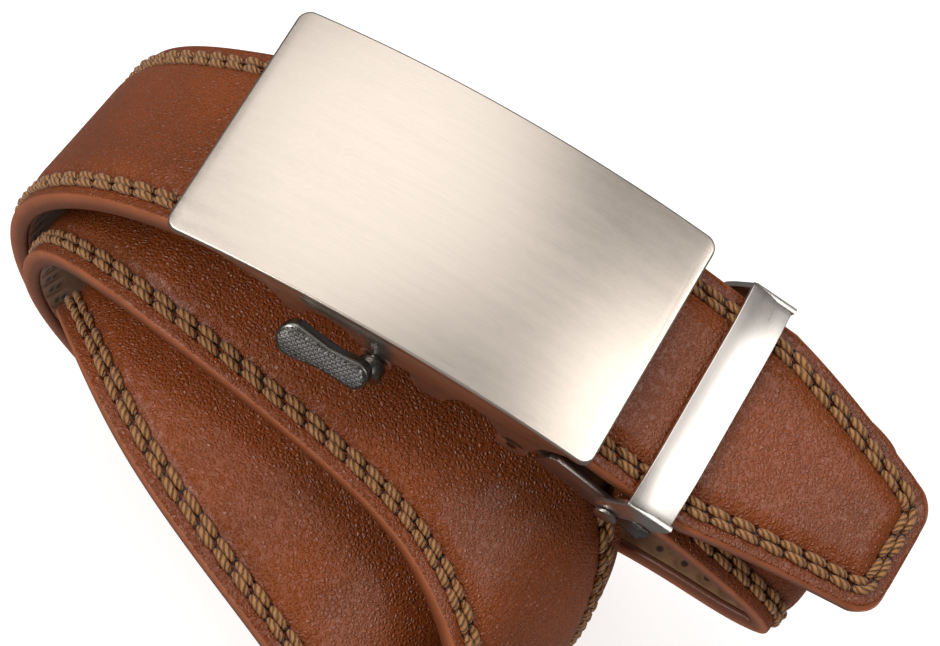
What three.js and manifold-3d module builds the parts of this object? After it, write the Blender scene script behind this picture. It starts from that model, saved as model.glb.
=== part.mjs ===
// A buckled ratchet belt lying in a folded coil of three loops, with its buckle facing up.
// Millimetres, +Z up. The part is drawn with the centre of the buckle's face plate at zero,
// X along the plate towards the strap's tip, and is then stood on the surface that it lies on.

import * as THREE from 'three';
import { mergeVertices } from 'three/addons/utils/BufferGeometryUtils.js';
import Module from 'manifold-3d';

const wasm = await Module();
wasm.setup();

// Strap
const STRAP_WIDTH = 35;
const FACE_THICKNESS = 1.9;
const PAD_RISE = 0.9;
const STITCHED_BORDER = 4.8;
const LINING_THICKNESS = 0.9;
const TIP_WIDTH = 20.5;
const TIP_TAPER = 33;
const TIP_CORNER = 3.5;
const SECTION_STEP = 4.6;

// Toothed track on the inner side of the strap
const TRACK_WIDTH = 9;
const TRACK_BED = 0.5;
const TOOTH_HEIGHT = 0.8;
const TOOTH_PITCH = 4.5;
const TRACK_FROM_TIP = 30;
const TRACK_LENGTH = 140;

// Folded coil: its length and depth between the outer faces of the outermost loop
const COIL_LENGTH = 120;
const COIL_DEPTH = 100;

// Buckle frame: curved face plate and two side walls
const PLATE_LENGTH = 70;
const PLATE_CROWN = 4.8;
const PLATE_THICKNESS = 1.5;
const PLATE_CORNER = 2;
const WALL_THICKNESS = 1.6;
const WALL_INSET = 0.4;
const WALL_DROP = 10;
const STRAP_CLEARANCE = 0.5;
const LUG_RADIUS = 2.7;

// Pins, rivets and the running clearance round them
const RUNNING_GAP = 0.3;
const PIN_RADIUS = 1;
const RIVET_RADIUS = 1;
const RIVET_HEAD_RADIUS = 1.9;
const RIVET_HEAD_HEIGHT = 0.5;

// Places of the moving pieces: along as a share of half the plate, down of the side walls' drop
const LEVER_ALONG = 0.014;
const LEVER_DOWN = 0.66;
const HINGE_ALONG = 0.671;
const HINGE_DOWN = 0.96;
const KEEPER_ALONG = 1.214;
const KEEPER_DOWN = 0.44;

// Release lever
const SHAFT_RADIUS = 1.2;
const BOSS_RADIUS = 2.2;
const BOSS_LENGTH = 2.8;
const TAB_LENGTH = 15;
const TAB_HEIGHT = 5.4;
const TAB_THICKNESS = 2.8;
const TAB_TILT = 45;
const TAB_SMALL_LOBE = 0.82;
const TAB_WAIST = 0.72;
const PAWL_REACH = 8;
const PAWL_WIDTH = 8;
const PAWL_THICKNESS = 2;

// Clip that holds the strap's fixed end, hinged under the plate
const CLIP_SLOPE = 24.5;
const CLIP_LENGTH = 19.5;
const CLIP_FLOOR = 1.2;
const CLIP_WALL_HEIGHT = 5.4;
const CLIP_WALL = 0.8;
const CLIP_WALL_SETBACK = 2;
const CLIP_WALL_CHAMFER = 1;
const RIVET_SETBACK = 2.6;
const RIVET_HEIGHT = 3;
const BARREL_RADIUS = 2.1;
const JAW_LENGTH = 5.2;
const JAW_THICKNESS = 1;
const JAW_TEETH = 4;
const JAW_TOOTH_HEIGHT = 0.4;
const JAW_EAR_HEIGHT = 3.4;
const JAW_EAR_CHAMFER = 0.6;

// Keeper: a bar over the strap's tip on two arms
const KEEPER_SLOPE = 16;
const KEEPER_WIDTH = 7.2;
const KEEPER_THICKNESS = 1;
const KEEPER_DROP = 9.2;

// Sizes that follow from the ones above
const HALF_STRAP = STRAP_WIDTH / 2;
const STRAP_THICKNESS = FACE_THICKNESS + RUNNING_GAP + LINING_THICKNESS;
const WALL_INNER = HALF_STRAP + STRAP_CLEARANCE;
const WALL_OUTER = WALL_INNER + WALL_THICKNESS;
const HALF_PLATE_WIDTH = WALL_OUTER + WALL_INSET;
const HALF_PLATE_LENGTH = PLATE_LENGTH / 2;
const PLATE_RADIUS = (HALF_PLATE_LENGTH ** 2 + PLATE_CROWN ** 2) / (2 * PLATE_CROWN);
const LEVER_X = LEVER_ALONG * HALF_PLATE_LENGTH;
const LEVER_DEPTH = LEVER_DOWN * WALL_DROP;
const HINGE_X = HINGE_ALONG * HALF_PLATE_LENGTH;
const HINGE_DEPTH = HINGE_DOWN * WALL_DROP;
const KEEPER_X = KEEPER_ALONG * HALF_PLATE_LENGTH;
const KEEPER_DEPTH = KEEPER_DOWN * WALL_DROP;
const CLIP_INNER = HALF_STRAP + RUNNING_GAP;
const CLIP_OUTER = CLIP_INNER + CLIP_WALL;
const KEEPER_INNER = CLIP_OUTER + RUNNING_GAP;
const KEEPER_OUTER = KEEPER_INNER + KEEPER_THICKNESS;
const CLIP_WALL_START = LUG_RADIUS + CLIP_WALL_SETBACK;
const RIVET_ALONG = CLIP_LENGTH - RIVET_SETBACK;

const leather = new THREE.MeshStandardMaterial({ color: 0x8a4a26, roughness: 0.45, metalness: 0 });
const suede = new THREE.MeshStandardMaterial({ color: 0x8b6547, roughness: 0.9, metalness: 0 });
const trackResin = new THREE.MeshStandardMaterial({ color: 0x2b2522, roughness: 0.5, metalness: 0 });
const brushedNickel = new THREE.MeshStandardMaterial({ color: 0xc9b9a6, roughness: 0.3, metalness: 1 });
const darkNickel = new THREE.MeshStandardMaterial({ color: 0x8d857c, roughness: 0.35, metalness: 1 });
const gunmetal = new THREE.MeshStandardMaterial({ color: 0x4a4744, roughness: 0.35, metalness: 1 });

// Stations of the strap's outer face, from the tip round the coil to the fixed end.
// y is a share of the strap's width and lean turns the strap about its run, in degrees.

// Tip, keeper and face plate: x is a share of half the plate, z of the side walls' drop
const TIP_RUN = [
  { place: 'tip end', x: 2.39, y: -0.03, z: -2.2, lean: 0 },
  { place: 'tip', x: 2.086, y: -0.02, z: -1.65, lean: 0 },
  { place: 'behind the keeper', x: 1.771, y: -0.01, z: -1.2, lean: 0 },
  { place: 'keeper', x: 1.486, y: 0, z: -0.94, lean: 0 },
  { place: 'before the keeper', x: 1.2, y: 0, z: -0.72, lean: 0 },
  { place: 'plate, tip side', x: 0.886, y: 0, z: -0.32, lean: 0 },
  { place: 'plate, third', x: 0.514, y: 0, z: 0.02, lean: 0 },
  { place: 'plate, middle', x: 0, y: 0, z: 0.12, lean: 0 },
  { place: 'plate, far third', x: -0.514, y: 0, z: -0.09, lean: -3 },
  { place: 'plate, far side', x: -0.943, y: 0, z: -0.72, lean: -10 },
];

// The coil: x is a share of the coil's length, z of its depth
const COIL_RUN = [
  { place: 'outer turn, top', x: -0.383, y: 0, z: -0.16, lean: -13 },
  { place: 'outer turn', x: -0.475, y: 0, z: -0.29, lean: -10 },
  { place: 'outer turn, side', x: -0.52, y: 0.01, z: -0.46, lean: -6 },
  { place: 'outer turn, side', x: -0.52, y: 0.01, z: -0.64, lean: -3 },
  { place: 'outer turn', x: -0.48, y: 0, z: -0.82, lean: -1 },
  { place: 'outer turn, foot', x: -0.383, y: -0.03, z: -0.95, lean: 0 },
  { place: 'first back', x: -0.25, y: -0.09, z: -1, lean: 0 },
  { place: 'first back', x: -0.1, y: -0.2, z: -1, lean: 0 },
  { place: 'first back', x: 0.03, y: -0.37, z: -1, lean: 0 },
  { place: 'first back', x: 0.15, y: -0.63, z: -1, lean: 0 },
  { place: 'first back, end', x: 0.246, y: -0.89, z: -0.98, lean: 7 },
  { place: 'first right turn', x: 0.312, y: -1.09, z: -0.86, lean: 11 },
  { place: 'first right turn, side', x: 0.342, y: -1.17, z: -0.7, lean: 12 },
  { place: 'first right turn, side', x: 0.35, y: -1.17, z: -0.54, lean: 12 },
  { place: 'first right turn', x: 0.346, y: -1.06, z: -0.4, lean: 12 },
  { place: 'first right turn, top', x: 0.308, y: -0.83, z: -0.285, lean: 6 },
  { place: 'second front', x: 0.208, y: -0.61, z: -0.215, lean: 2 },
  { place: 'second front', x: 0.083, y: -0.485, z: -0.19, lean: 0 },
  { place: 'second front', x: -0.083, y: -0.385, z: -0.185, lean: 0 },
  { place: 'second front', x: -0.242, y: -0.3, z: -0.2, lean: -5 },
  { place: 'second turn, top', x: -0.367, y: -0.2, z: -0.26, lean: -10 },
  { place: 'second turn', x: -0.442, y: -0.12, z: -0.37, lean: -12 },
  { place: 'second turn, side', x: -0.467, y: -0.12, z: -0.51, lean: -12 },
  { place: 'second turn', x: -0.454, y: -0.11, z: -0.66, lean: -8 },
  { place: 'second turn', x: -0.404, y: -0.1, z: -0.8, lean: -4 },
  { place: 'second turn, foot', x: -0.317, y: -0.13, z: -0.905, lean: 0 },
  { place: 'second back', x: -0.2, y: -0.26, z: -0.946, lean: 0 },
  { place: 'second back', x: -0.067, y: -0.46, z: -0.946, lean: 0 },
  { place: 'second back', x: 0.05, y: -0.67, z: -0.944, lean: 0 },
  { place: 'second back, end', x: 0.142, y: -0.92, z: -0.91, lean: 7 },
  { place: 'second right turn', x: 0.204, y: -1.17, z: -0.81, lean: 11 },
  { place: 'second right turn, side', x: 0.237, y: -1.34, z: -0.65, lean: 10 },
  { place: 'second right turn, side', x: 0.246, y: -1.41, z: -0.5, lean: 10 },
  { place: 'second right turn', x: 0.233, y: -1.39, z: -0.39, lean: 10 },
  { place: 'second right turn, top', x: 0.179, y: -1.3, z: -0.335, lean: 6 },
  { place: 'third front', x: 0.083, y: -1.17, z: -0.3, lean: 0 },
  { place: 'third front', x: -0.042, y: -1, z: -0.29, lean: 0 },
  { place: 'third front', x: -0.167, y: -0.79, z: -0.3, lean: -5 },
  { place: 'third turn, top', x: -0.275, y: -0.51, z: -0.34, lean: -14 },
  { place: 'third turn', x: -0.35, y: -0.29, z: -0.42, lean: -20 },
  { place: 'third turn, side', x: -0.383, y: -0.17, z: -0.54, lean: -16 },
  { place: 'third turn', x: -0.371, y: -0.09, z: -0.67, lean: -8 },
  { place: 'third turn', x: -0.308, y: -0.04, z: -0.78, lean: -3 },
  { place: 'third turn, foot', x: -0.208, y: 0, z: -0.835, lean: 0 },
  { place: 'third back', x: -0.092, y: 0.04, z: -0.82, lean: 0 },
  { place: 'third back', x: 0.025, y: 0.09, z: -0.75, lean: 0 },
  { place: 'third back', x: 0.142, y: 0.11, z: -0.64, lean: 2 },
  { place: 'third back', x: 0.258, y: 0.11, z: -0.535, lean: 4 },
  { place: 'third back, end', x: 0.35, y: 0.09, z: -0.465, lean: 6 },
];

// Last turn into the clip: x is a share of half the plate, z of the side walls' drop
const FIXED_RUN = [
  { place: 'last turn, foot', x: 1.514, y: 0.05, z: -4.32, lean: 8 },
  { place: 'last turn, foot', x: 1.886, y: 0.01, z: -4.25, lean: 11 },
  { place: 'last turn, side', x: 2.186, y: 0, z: -3.75, lean: 11 },
  { place: 'last turn', x: 2.143, y: 0, z: -2.9, lean: 9 },
  { place: 'last turn, top', x: 1.829, y: 0, z: -2.3, lean: 5 },
  { place: 'clip, mouth', x: 1.514, y: 0, z: -1.85, lean: 0 },
  { place: 'clip', x: 1.286, y: 0, z: -1.51, lean: 0 },
  { place: 'clip, end', x: 1.114, y: 0, z: -1.25, lean: 0 },
];

const toStation = (row, length, depth) => ({
  point: new THREE.Vector3(row.x * length, row.y * STRAP_WIDTH, row.z * depth),
  lean: THREE.MathUtils.degToRad(row.lean),
});

// A smooth line through the stations, as a uniform cubic B-spline, walked in small steps
function walkStrap() {
  const stations = [
    ...TIP_RUN.map((row) => toStation(row, HALF_PLATE_LENGTH, WALL_DROP)),
    ...COIL_RUN.map((row) => toStation(row, COIL_LENGTH, COIL_DEPTH)),
    ...FIXED_RUN.map((row) => toStation(row, HALF_PLATE_LENGTH, WALL_DROP)),
  ];
  const stepsPerSpan = 16;
  const last = stations.length - 1;
  const at = (index) => stations[Math.min(Math.max(index, 0), last)];
  const line = [];
  for (let span = 0; span < last; span += 1) {
    for (let step = 0; step < stepsPerSpan; step += 1) {
      line.push(blend(at(span - 1), at(span), at(span + 1), at(span + 2), step / stepsPerSpan));
    }
  }
  line.push(blend(at(last - 1), at(last), at(last + 1), at(last + 1), 0));
  let run = 0;
  line.forEach((sample, index) => {
    run += index ? sample.point.distanceTo(line[index - 1].point) : 0;
    sample.run = run;
  });
  return line;
}

function blend(a, b, c, d, u) {
  const weights = [
    (1 - u) ** 3 / 6,
    (3 * u ** 3 - 6 * u ** 2 + 4) / 6,
    (-3 * u ** 3 + 3 * u ** 2 + 3 * u + 1) / 6,
    u ** 3 / 6,
  ];
  const slopes = [-((1 - u) ** 2) / 2, (3 * u ** 2 - 4 * u) / 2, (-3 * u ** 2 + 2 * u + 1) / 2, u ** 2 / 2];
  const point = new THREE.Vector3();
  const tangent = new THREE.Vector3();
  let lean = 0;
  [a, b, c, d].forEach((station, index) => {
    point.addScaledVector(station.point, weights[index]);
    tangent.addScaledVector(station.point, slopes[index]);
    lean += station.lean * weights[index];
  });
  return { point, tangent: tangent.normalize(), lean };
}

const strapLine = walkStrap();
const STRAP_LENGTH = strapLine[strapLine.length - 1].run;

// Place on the strap's outer face at a run from the tip: its point, width and outward directions
function strapAt(run) {
  let index = 1;
  while (index < strapLine.length - 1 && strapLine[index].run < run) index += 1;
  const before = strapLine[index - 1];
  const after = strapLine[index];
  const share = THREE.MathUtils.clamp((run - before.run) / (after.run - before.run), 0, 1);
  const point = before.point.clone().lerp(after.point, share);
  const along = before.tangent.clone().lerp(after.tangent, share).normalize();
  const lean = THREE.MathUtils.lerp(before.lean, after.lean, share);
  const across = new THREE.Vector3(0, 1, 0).addScaledVector(along, -along.y).normalize();
  const outward = across.clone().cross(along);
  across.applyAxisAngle(along, -lean);
  outward.applyAxisAngle(along, -lean);
  return { point, across, outward };
}

// Half the strap's width at a run from the tip, with the tip's taper and round corners
function halfWidth(run) {
  const taper = TIP_WIDTH / 2 + (HALF_STRAP - TIP_WIDTH / 2) * Math.min(1, run / TIP_TAPER);
  const inCorner = Math.max(0, TIP_CORNER - run);
  return taper - (TIP_CORNER - Math.sqrt(TIP_CORNER ** 2 - inCorner ** 2));
}

// Runs of the strap's sections: close together round the tip's corners, then even steps
function strapRuns() {
  const runs = [0, 0.12, 0.4, 1].map((share) => share * TIP_CORNER);
  const border = STITCHED_BORDER * 1.4;
  runs.push(STITCHED_BORDER, border);
  const count = Math.round((STRAP_LENGTH - border) / SECTION_STEP);
  for (let index = 1; index <= count; index += 1) {
    runs.push(border + ((STRAP_LENGTH - border) * index) / count);
  }
  return runs;
}

// A closed solid through sections of (across, outward) offsets along the strap. Every quad is
// split from its near corner on the low side of the width, so stacked layers twist alike.
function loftAlongStrap(runs, profileAt) {
  const positions = [];
  const faces = [];
  const firstProfile = profileAt(runs[0]);
  const size = firstProfile.length;
  runs.forEach((run) => {
    const { point, across, outward } = strapAt(run);
    profileAt(run).forEach(([side, height]) => {
      const corner = point.clone().addScaledVector(across, side).addScaledVector(outward, height);
      positions.push(corner.x, corner.y, corner.z);
    });
  });
  for (let row = 0; row < runs.length - 1; row += 1) {
    for (let index = 0; index < size; index += 1) {
      const next = (index + 1) % size;
      const near = row * size;
      const far = near + size;
      if (firstProfile[index][0] <= firstProfile[next][0]) {
        faces.push(near + index, far + next, far + index);
        faces.push(near + index, near + next, far + next);
      } else {
        faces.push(near + index, near + next, far + index);
        faces.push(near + next, far + next, far + index);
      }
    }
  }
  const outline = firstProfile.map(([side, height]) => new THREE.Vector2(side, height));
  const lastRow = (runs.length - 1) * size;
  THREE.ShapeUtils.triangulateShape(outline, []).forEach(([a, b, c]) => {
    faces.push(a, c, b);
    faces.push(lastRow + a, lastRow + b, lastRow + c);
  });
  const geometry = new THREE.BufferGeometry();
  geometry.setAttribute('position', new THREE.Float32BufferAttribute(positions, 3));
  geometry.setIndex(faces);
  return faceOutwards(geometry);
}

function faceOutwards(geometry) {
  const position = geometry.attributes.position;
  const index = geometry.index.array;
  const corner = (place) => new THREE.Vector3().fromBufferAttribute(position, index[place]);
  let volume = 0;
  for (let face = 0; face < index.length; face += 3) {
    volume += corner(face).dot(corner(face + 1).cross(corner(face + 2)));
  }
  if (volume < 0) {
    for (let face = 0; face < index.length; face += 3) {
      [index[face], index[face + 1]] = [index[face + 1], index[face]];
    }
  }
  return geometry;
}

// Shared shape helpers: outlines in X and Z pushed along Y, round bars along Y, joins and cuts
function pushAlongY(outline, fromY, toY) {
  const shape = new THREE.Shape(outline.map(([x, z]) => new THREE.Vector2(x, z)));
  const geometry = new THREE.ExtrudeGeometry(shape, { depth: toY - fromY, bevelEnabled: false });
  return geometry.rotateX(Math.PI / 2).translate(0, toY, 0);
}

function barAlongY(radius, x, z, fromY, toY, sides = 20) {
  const geometry = new THREE.CylinderGeometry(radius, radius, toY - fromY, sides);
  return geometry.translate(x, (fromY + toY) / 2, z);
}

function toSolid(geometry) {
  const bare = geometry.clone();
  bare.deleteAttribute('normal');
  bare.deleteAttribute('uv');
  const merged = mergeVertices(bare, 1e-5);
  const mesh = new wasm.Mesh({
    numProp: 3,
    vertProperties: new Float32Array(merged.attributes.position.array),
    triVerts: new Uint32Array(merged.index.array),
  });
  return new wasm.Manifold(mesh);
}

function toGeometry(solid) {
  const mesh = solid.getMesh();
  const geometry = new THREE.BufferGeometry();
  geometry.setAttribute('position', new THREE.Float32BufferAttribute(mesh.vertProperties, 3));
  geometry.setIndex(new THREE.Uint32BufferAttribute(mesh.triVerts, 1));
  return geometry;
}

const join = (solids) => solids.reduce((sum, solid) => sum.add(solid));
const cut = (solid, tools) => tools.reduce((rest, tool) => rest.subtract(tool), solid);

const belt = new THREE.Group();

function addPiece(name, geometry, material) {
  const mesh = new THREE.Mesh(geometry, material);
  mesh.name = name;
  belt.add(mesh);
}

// Height of the plate's outer face, or of a face set below it
function plateHeight(x, below = 0) {
  const radius = PLATE_RADIUS - below;
  return Math.sqrt(radius ** 2 - x ** 2) - (PLATE_RADIUS - PLATE_CROWN);
}

// Strap: padded face leather and the lining behind it
function makeStrapFace() {
  const profileAt = (run) => {
    const half = halfWidth(run);
    const rise = PAD_RISE * THREE.MathUtils.smoothstep(run, STITCHED_BORDER * 0.9, STITCHED_BORDER * 1.9);
    const shoulder = half - STITCHED_BORDER;
    const crest = Math.max(shoulder - STITCHED_BORDER * 0.8, 0.5);
    const middle = (shoulder + crest) / 2;
    return [
      [-half, -FACE_THICKNESS],
      [0, -FACE_THICKNESS],
      [half, -FACE_THICKNESS],
      [half, 0],
      [shoulder, 0],
      [middle, rise * 0.75],
      [crest, rise],
      [-crest, rise],
      [-middle, rise * 0.75],
      [-shoulder, 0],
      [-half, 0],
    ];
  };
  addPiece('strap_face', loftAlongStrap(strapRuns(), profileAt), leather);
}

function makeStrapLining() {
  const top = -(FACE_THICKNESS + RUNNING_GAP);
  const bottom = top - LINING_THICKNESS;
  const profileAt = (run) => {
    const half = halfWidth(run);
    return [[-half, bottom], [0, bottom], [half, bottom], [half, top], [0, top], [-half, top]];
  };
  addPiece('strap_lining', loftAlongStrap(strapRuns(), profileAt), suede);
}

// Track: a strip with saw teeth, two sections to a tooth
function makeTrack() {
  const top = -(STRAP_THICKNESS + RUNNING_GAP);
  const teeth = Math.floor(TRACK_LENGTH / TOOTH_PITCH);
  const heights = new Map();
  for (let tooth = 0; tooth < teeth; tooth += 1) {
    const start = TRACK_FROM_TIP + tooth * TOOTH_PITCH;
    heights.set(start, TRACK_BED);
    heights.set(start + TOOTH_PITCH * 0.85, TRACK_BED + TOOTH_HEIGHT);
  }
  heights.set(TRACK_FROM_TIP + teeth * TOOTH_PITCH, TRACK_BED);
  const half = TRACK_WIDTH / 2;
  const profileAt = (run) => {
    const bottom = top - heights.get(run);
    return [[-half, bottom], [half, bottom], [half, top], [-half, top]];
  };
  addPiece('ratchet_track', loftAlongStrap([...heights.keys()], profileAt), trackResin);
}

// Buckle frame. The side wall's lower edge: x is a share of half the plate, drop of the walls' drop
const WALL_EDGE = [
  { x: -0.8, drop: 0.02 },
  { x: -0.59, drop: 0.15 },
  { x: -0.49, drop: 0.29 },
  { x: -0.42, drop: 0.54 },
  { x: -0.35, drop: 0.56 },
  { x: -0.31, drop: 0.25 },
  { x: -0.24, drop: 0.14 },
  { x: -0.15, drop: 0.2 },
  { x: -0.06, drop: 0.45 },
  { x: 0.09, drop: 0.42 },
  { x: 0.17, drop: 0.44 },
  { x: 0.19, drop: 0.7 },
  { x: 0.215, drop: 0.81 },
  { x: 0.335, drop: 0.79 },
  { x: 0.355, drop: 0.6 },
  { x: 0.42, drop: 0.33 },
  { x: 0.5, drop: 0.37 },
  { x: 0.56, drop: 0.54 },
  { x: 0.62, drop: 0.85 },
  { x: 0.74, drop: 0.85 },
  { x: 0.8, drop: 0.42 },
  { x: 0.92, drop: 0.13 },
];

function plateBlank() {
  const segments = 24;
  const outline = [];
  for (let index = 0; index <= segments; index += 1) {
    const x = -HALF_PLATE_LENGTH + (PLATE_LENGTH * index) / segments;
    outline.push([x, plateHeight(x)]);
  }
  for (let index = segments; index >= 0; index -= 1) {
    const x = -HALF_PLATE_LENGTH + (PLATE_LENGTH * index) / segments;
    outline.push([x, plateHeight(x, PLATE_THICKNESS)]);
  }
  return toSolid(pushAlongY(outline, -HALF_PLATE_WIDTH, HALF_PLATE_WIDTH));
}

// Rounded rectangle as tall as the plate, which rounds the plate's four corners
function plateTrim() {
  const shape = new THREE.Shape();
  const right = HALF_PLATE_LENGTH;
  const top = HALF_PLATE_WIDTH;
  const r = PLATE_CORNER;
  shape.moveTo(-right + r, -top);
  shape.lineTo(right - r, -top);
  shape.absarc(right - r, -top + r, r, -Math.PI / 2, 0);
  shape.absarc(right - r, top - r, r, 0, Math.PI / 2);
  shape.absarc(-right + r, top - r, r, Math.PI / 2, Math.PI);
  shape.absarc(-right + r, -top + r, r, Math.PI, Math.PI * 1.5);
  const depth = (PLATE_CROWN + PLATE_THICKNESS) * 2;
  const geometry = new THREE.ExtrudeGeometry(shape, { depth, bevelEnabled: false, curveSegments: 5 });
  return toSolid(geometry.translate(0, 0, -depth / 2));
}

function wallBlank(fromY, toY) {
  const outline = WALL_EDGE.map(({ x, drop }) => [x * HALF_PLATE_LENGTH, -drop * WALL_DROP]);
  const start = WALL_EDGE[0].x * HALF_PLATE_LENGTH;
  const end = WALL_EDGE[WALL_EDGE.length - 1].x * HALF_PLATE_LENGTH;
  const segments = 16;
  for (let index = 0; index <= segments; index += 1) {
    const x = end + ((start - end) * index) / segments;
    outline.push([x, plateHeight(x, PLATE_THICKNESS / 2)]);
  }
  return join([
    toSolid(pushAlongY(outline, fromY, toY)),
    toSolid(barAlongY(LUG_RADIUS, LEVER_X, -LEVER_DEPTH, fromY, toY)),
    toSolid(barAlongY(LUG_RADIUS, HINGE_X, -HINGE_DEPTH, fromY, toY)),
  ]);
}

function makeBuckleFrame() {
  const plate = plateBlank().intersect(plateTrim());
  const walls = [wallBlank(-WALL_OUTER, -WALL_INNER), wallBlank(WALL_INNER, WALL_OUTER)];
  const reach = HALF_PLATE_WIDTH + 1;
  const bores = [
    toSolid(barAlongY(SHAFT_RADIUS + RUNNING_GAP, LEVER_X, -LEVER_DEPTH, -reach, reach)),
    toSolid(barAlongY(PIN_RADIUS + RUNNING_GAP, HINGE_X, -HINGE_DEPTH, -reach, reach)),
  ];
  addPiece('buckle_frame', toGeometry(cut(join([plate, ...walls]), bores)), brushedNickel);
}

// Release lever: knurled tab, boss, shaft across the frame and the pawl under the track
function tabOutline() {
  const half = TAB_LENGTH / 2;
  const high = TAB_HEIGHT / 2;
  const bigLobe = high;
  const smallLobe = high * TAB_SMALL_LOBE;
  const waist = high * TAB_WAIST;
  const shape = new THREE.Shape();
  shape.moveTo(-half + bigLobe, -bigLobe);
  shape.quadraticCurveTo(half * 0.25, -waist, half - smallLobe, -smallLobe);
  shape.absarc(half - smallLobe, 0, smallLobe, -Math.PI / 2, Math.PI / 2);
  shape.quadraticCurveTo(half * 0.25, waist, -half + bigLobe, bigLobe);
  shape.absarc(-half + bigLobe, 0, bigLobe, Math.PI / 2, Math.PI * 1.5);
  return shape;
}

function makeReleaseLever() {
  const tilt = THREE.MathUtils.degToRad(TAB_TILT);
  const spread = (TAB_HEIGHT / 2) * Math.cos(tilt) + (TAB_THICKNESS / 2) * Math.sin(tilt);
  const bossStart = WALL_OUTER + RUNNING_GAP;
  const tabSettings = { depth: TAB_THICKNESS, bevelEnabled: false, curveSegments: 6 };
  const tab = new THREE.ExtrudeGeometry(tabOutline(), tabSettings);
  tab.translate(0, 0, -TAB_THICKNESS / 2).rotateX(tilt);
  const tabX = LEVER_X - TAB_LENGTH / 2 + BOSS_RADIUS / 2;
  tab.translate(tabX, -(HALF_PLATE_WIDTH + 2 * RUNNING_GAP + spread), -LEVER_DEPTH + BOSS_RADIUS);
  const boss = barAlongY(BOSS_RADIUS, LEVER_X, -LEVER_DEPTH, -bossStart - BOSS_LENGTH, -bossStart);
  const shaft = barAlongY(SHAFT_RADIUS, LEVER_X, -LEVER_DEPTH, -bossStart - BOSS_LENGTH / 2, WALL_OUTER);
  const noseX = LEVER_X + PAWL_REACH;
  const nose = strapUnderside(noseX) - 2 * RUNNING_GAP;
  const low = -LEVER_DEPTH - PAWL_THICKNESS / 2;
  const pawlOutline = [
    [LEVER_X, low],
    [noseX, low],
    [noseX, nose],
    [noseX - PAWL_THICKNESS / 2, nose],
    [noseX - PAWL_THICKNESS, low + PAWL_THICKNESS],
    [LEVER_X, low + PAWL_THICKNESS],
  ];
  const pawl = pushAlongY(pawlOutline, -PAWL_WIDTH / 2, PAWL_WIDTH / 2);
  addPiece('release_lever', toGeometry(join([tab, boss, shaft, pawl].map(toSolid))), gunmetal);
}

// Height of the track's tooth tips at an X under the plate
function strapUnderside(x) {
  let nearest = strapLine[0];
  strapLine.filter((sample) => sample.run < TRACK_FROM_TIP + TRACK_LENGTH / 2).forEach((sample) => {
    if (Math.abs(sample.point.x - x) < Math.abs(nearest.point.x - x)) nearest = sample;
  });
  return nearest.point.z - (STRAP_THICKNESS + RUNNING_GAP + TRACK_BED + TOOTH_HEIGHT);
}

// Clip: barrel on the hinge pin, sloping floor and two side walls. Outlines are drawn along the
// slope from the hinge, then turned down by the slope.
function alongClip(outline) {
  const slope = THREE.MathUtils.degToRad(CLIP_SLOPE);
  const turn = ([along, up]) => [
    HINGE_X + along * Math.cos(slope) + up * Math.sin(slope),
    -HINGE_DEPTH - along * Math.sin(slope) + up * Math.cos(slope),
  ];
  return outline.map(turn);
}

function makeClip() {
  const floor = [[0, 0], [0, -CLIP_FLOOR], [CLIP_LENGTH, -CLIP_FLOOR], [CLIP_LENGTH, 0]];
  const wide = [
    [CLIP_WALL_START, 0],
    [CLIP_WALL_START, -CLIP_FLOOR],
    [CLIP_LENGTH, -CLIP_FLOOR],
    [CLIP_LENGTH, 0],
  ];
  const wall = [
    [CLIP_WALL_START, -CLIP_FLOOR],
    [CLIP_LENGTH, -CLIP_FLOOR],
    [CLIP_LENGTH, CLIP_WALL_HEIGHT * 0.75],
    [CLIP_LENGTH - CLIP_WALL_CHAMFER, CLIP_WALL_HEIGHT - CLIP_FLOOR],
    [CLIP_WALL_START + CLIP_WALL_CHAMFER, CLIP_WALL_HEIGHT - CLIP_FLOOR],
    [CLIP_WALL_START, CLIP_WALL_HEIGHT * 0.6],
  ];
  const tongue = WALL_INNER - RUNNING_GAP;
  const solids = [
    toSolid(pushAlongY(alongClip(floor), -tongue, tongue)),
    toSolid(pushAlongY(alongClip(wide), -CLIP_OUTER, CLIP_OUTER)),
    toSolid(pushAlongY(alongClip(wall), -CLIP_OUTER, -CLIP_INNER)),
    toSolid(pushAlongY(alongClip(wall), CLIP_INNER, CLIP_OUTER)),
    toSolid(barAlongY(BARREL_RADIUS, HINGE_X, -HINGE_DEPTH, -tongue, tongue)),
  ];
  const [[rivetX, rivetZ]] = alongClip([[RIVET_ALONG, RIVET_HEIGHT]]);
  const reach = CLIP_OUTER + 1;
  const bores = [
    toSolid(barAlongY(PIN_RADIUS + RUNNING_GAP, HINGE_X, -HINGE_DEPTH, -reach, reach)),
    toSolid(barAlongY(RIVET_RADIUS + RUNNING_GAP, rivetX, rivetZ, -reach, reach)),
  ];
  addPiece('clip_base', toGeometry(cut(join(solids), bores)), darkNickel);
}

function makeHingePin() {
  addPiece('hinge_pin', barAlongY(PIN_RADIUS, HINGE_X, -HINGE_DEPTH, -WALL_OUTER, WALL_OUTER), darkNickel);
}

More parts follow.
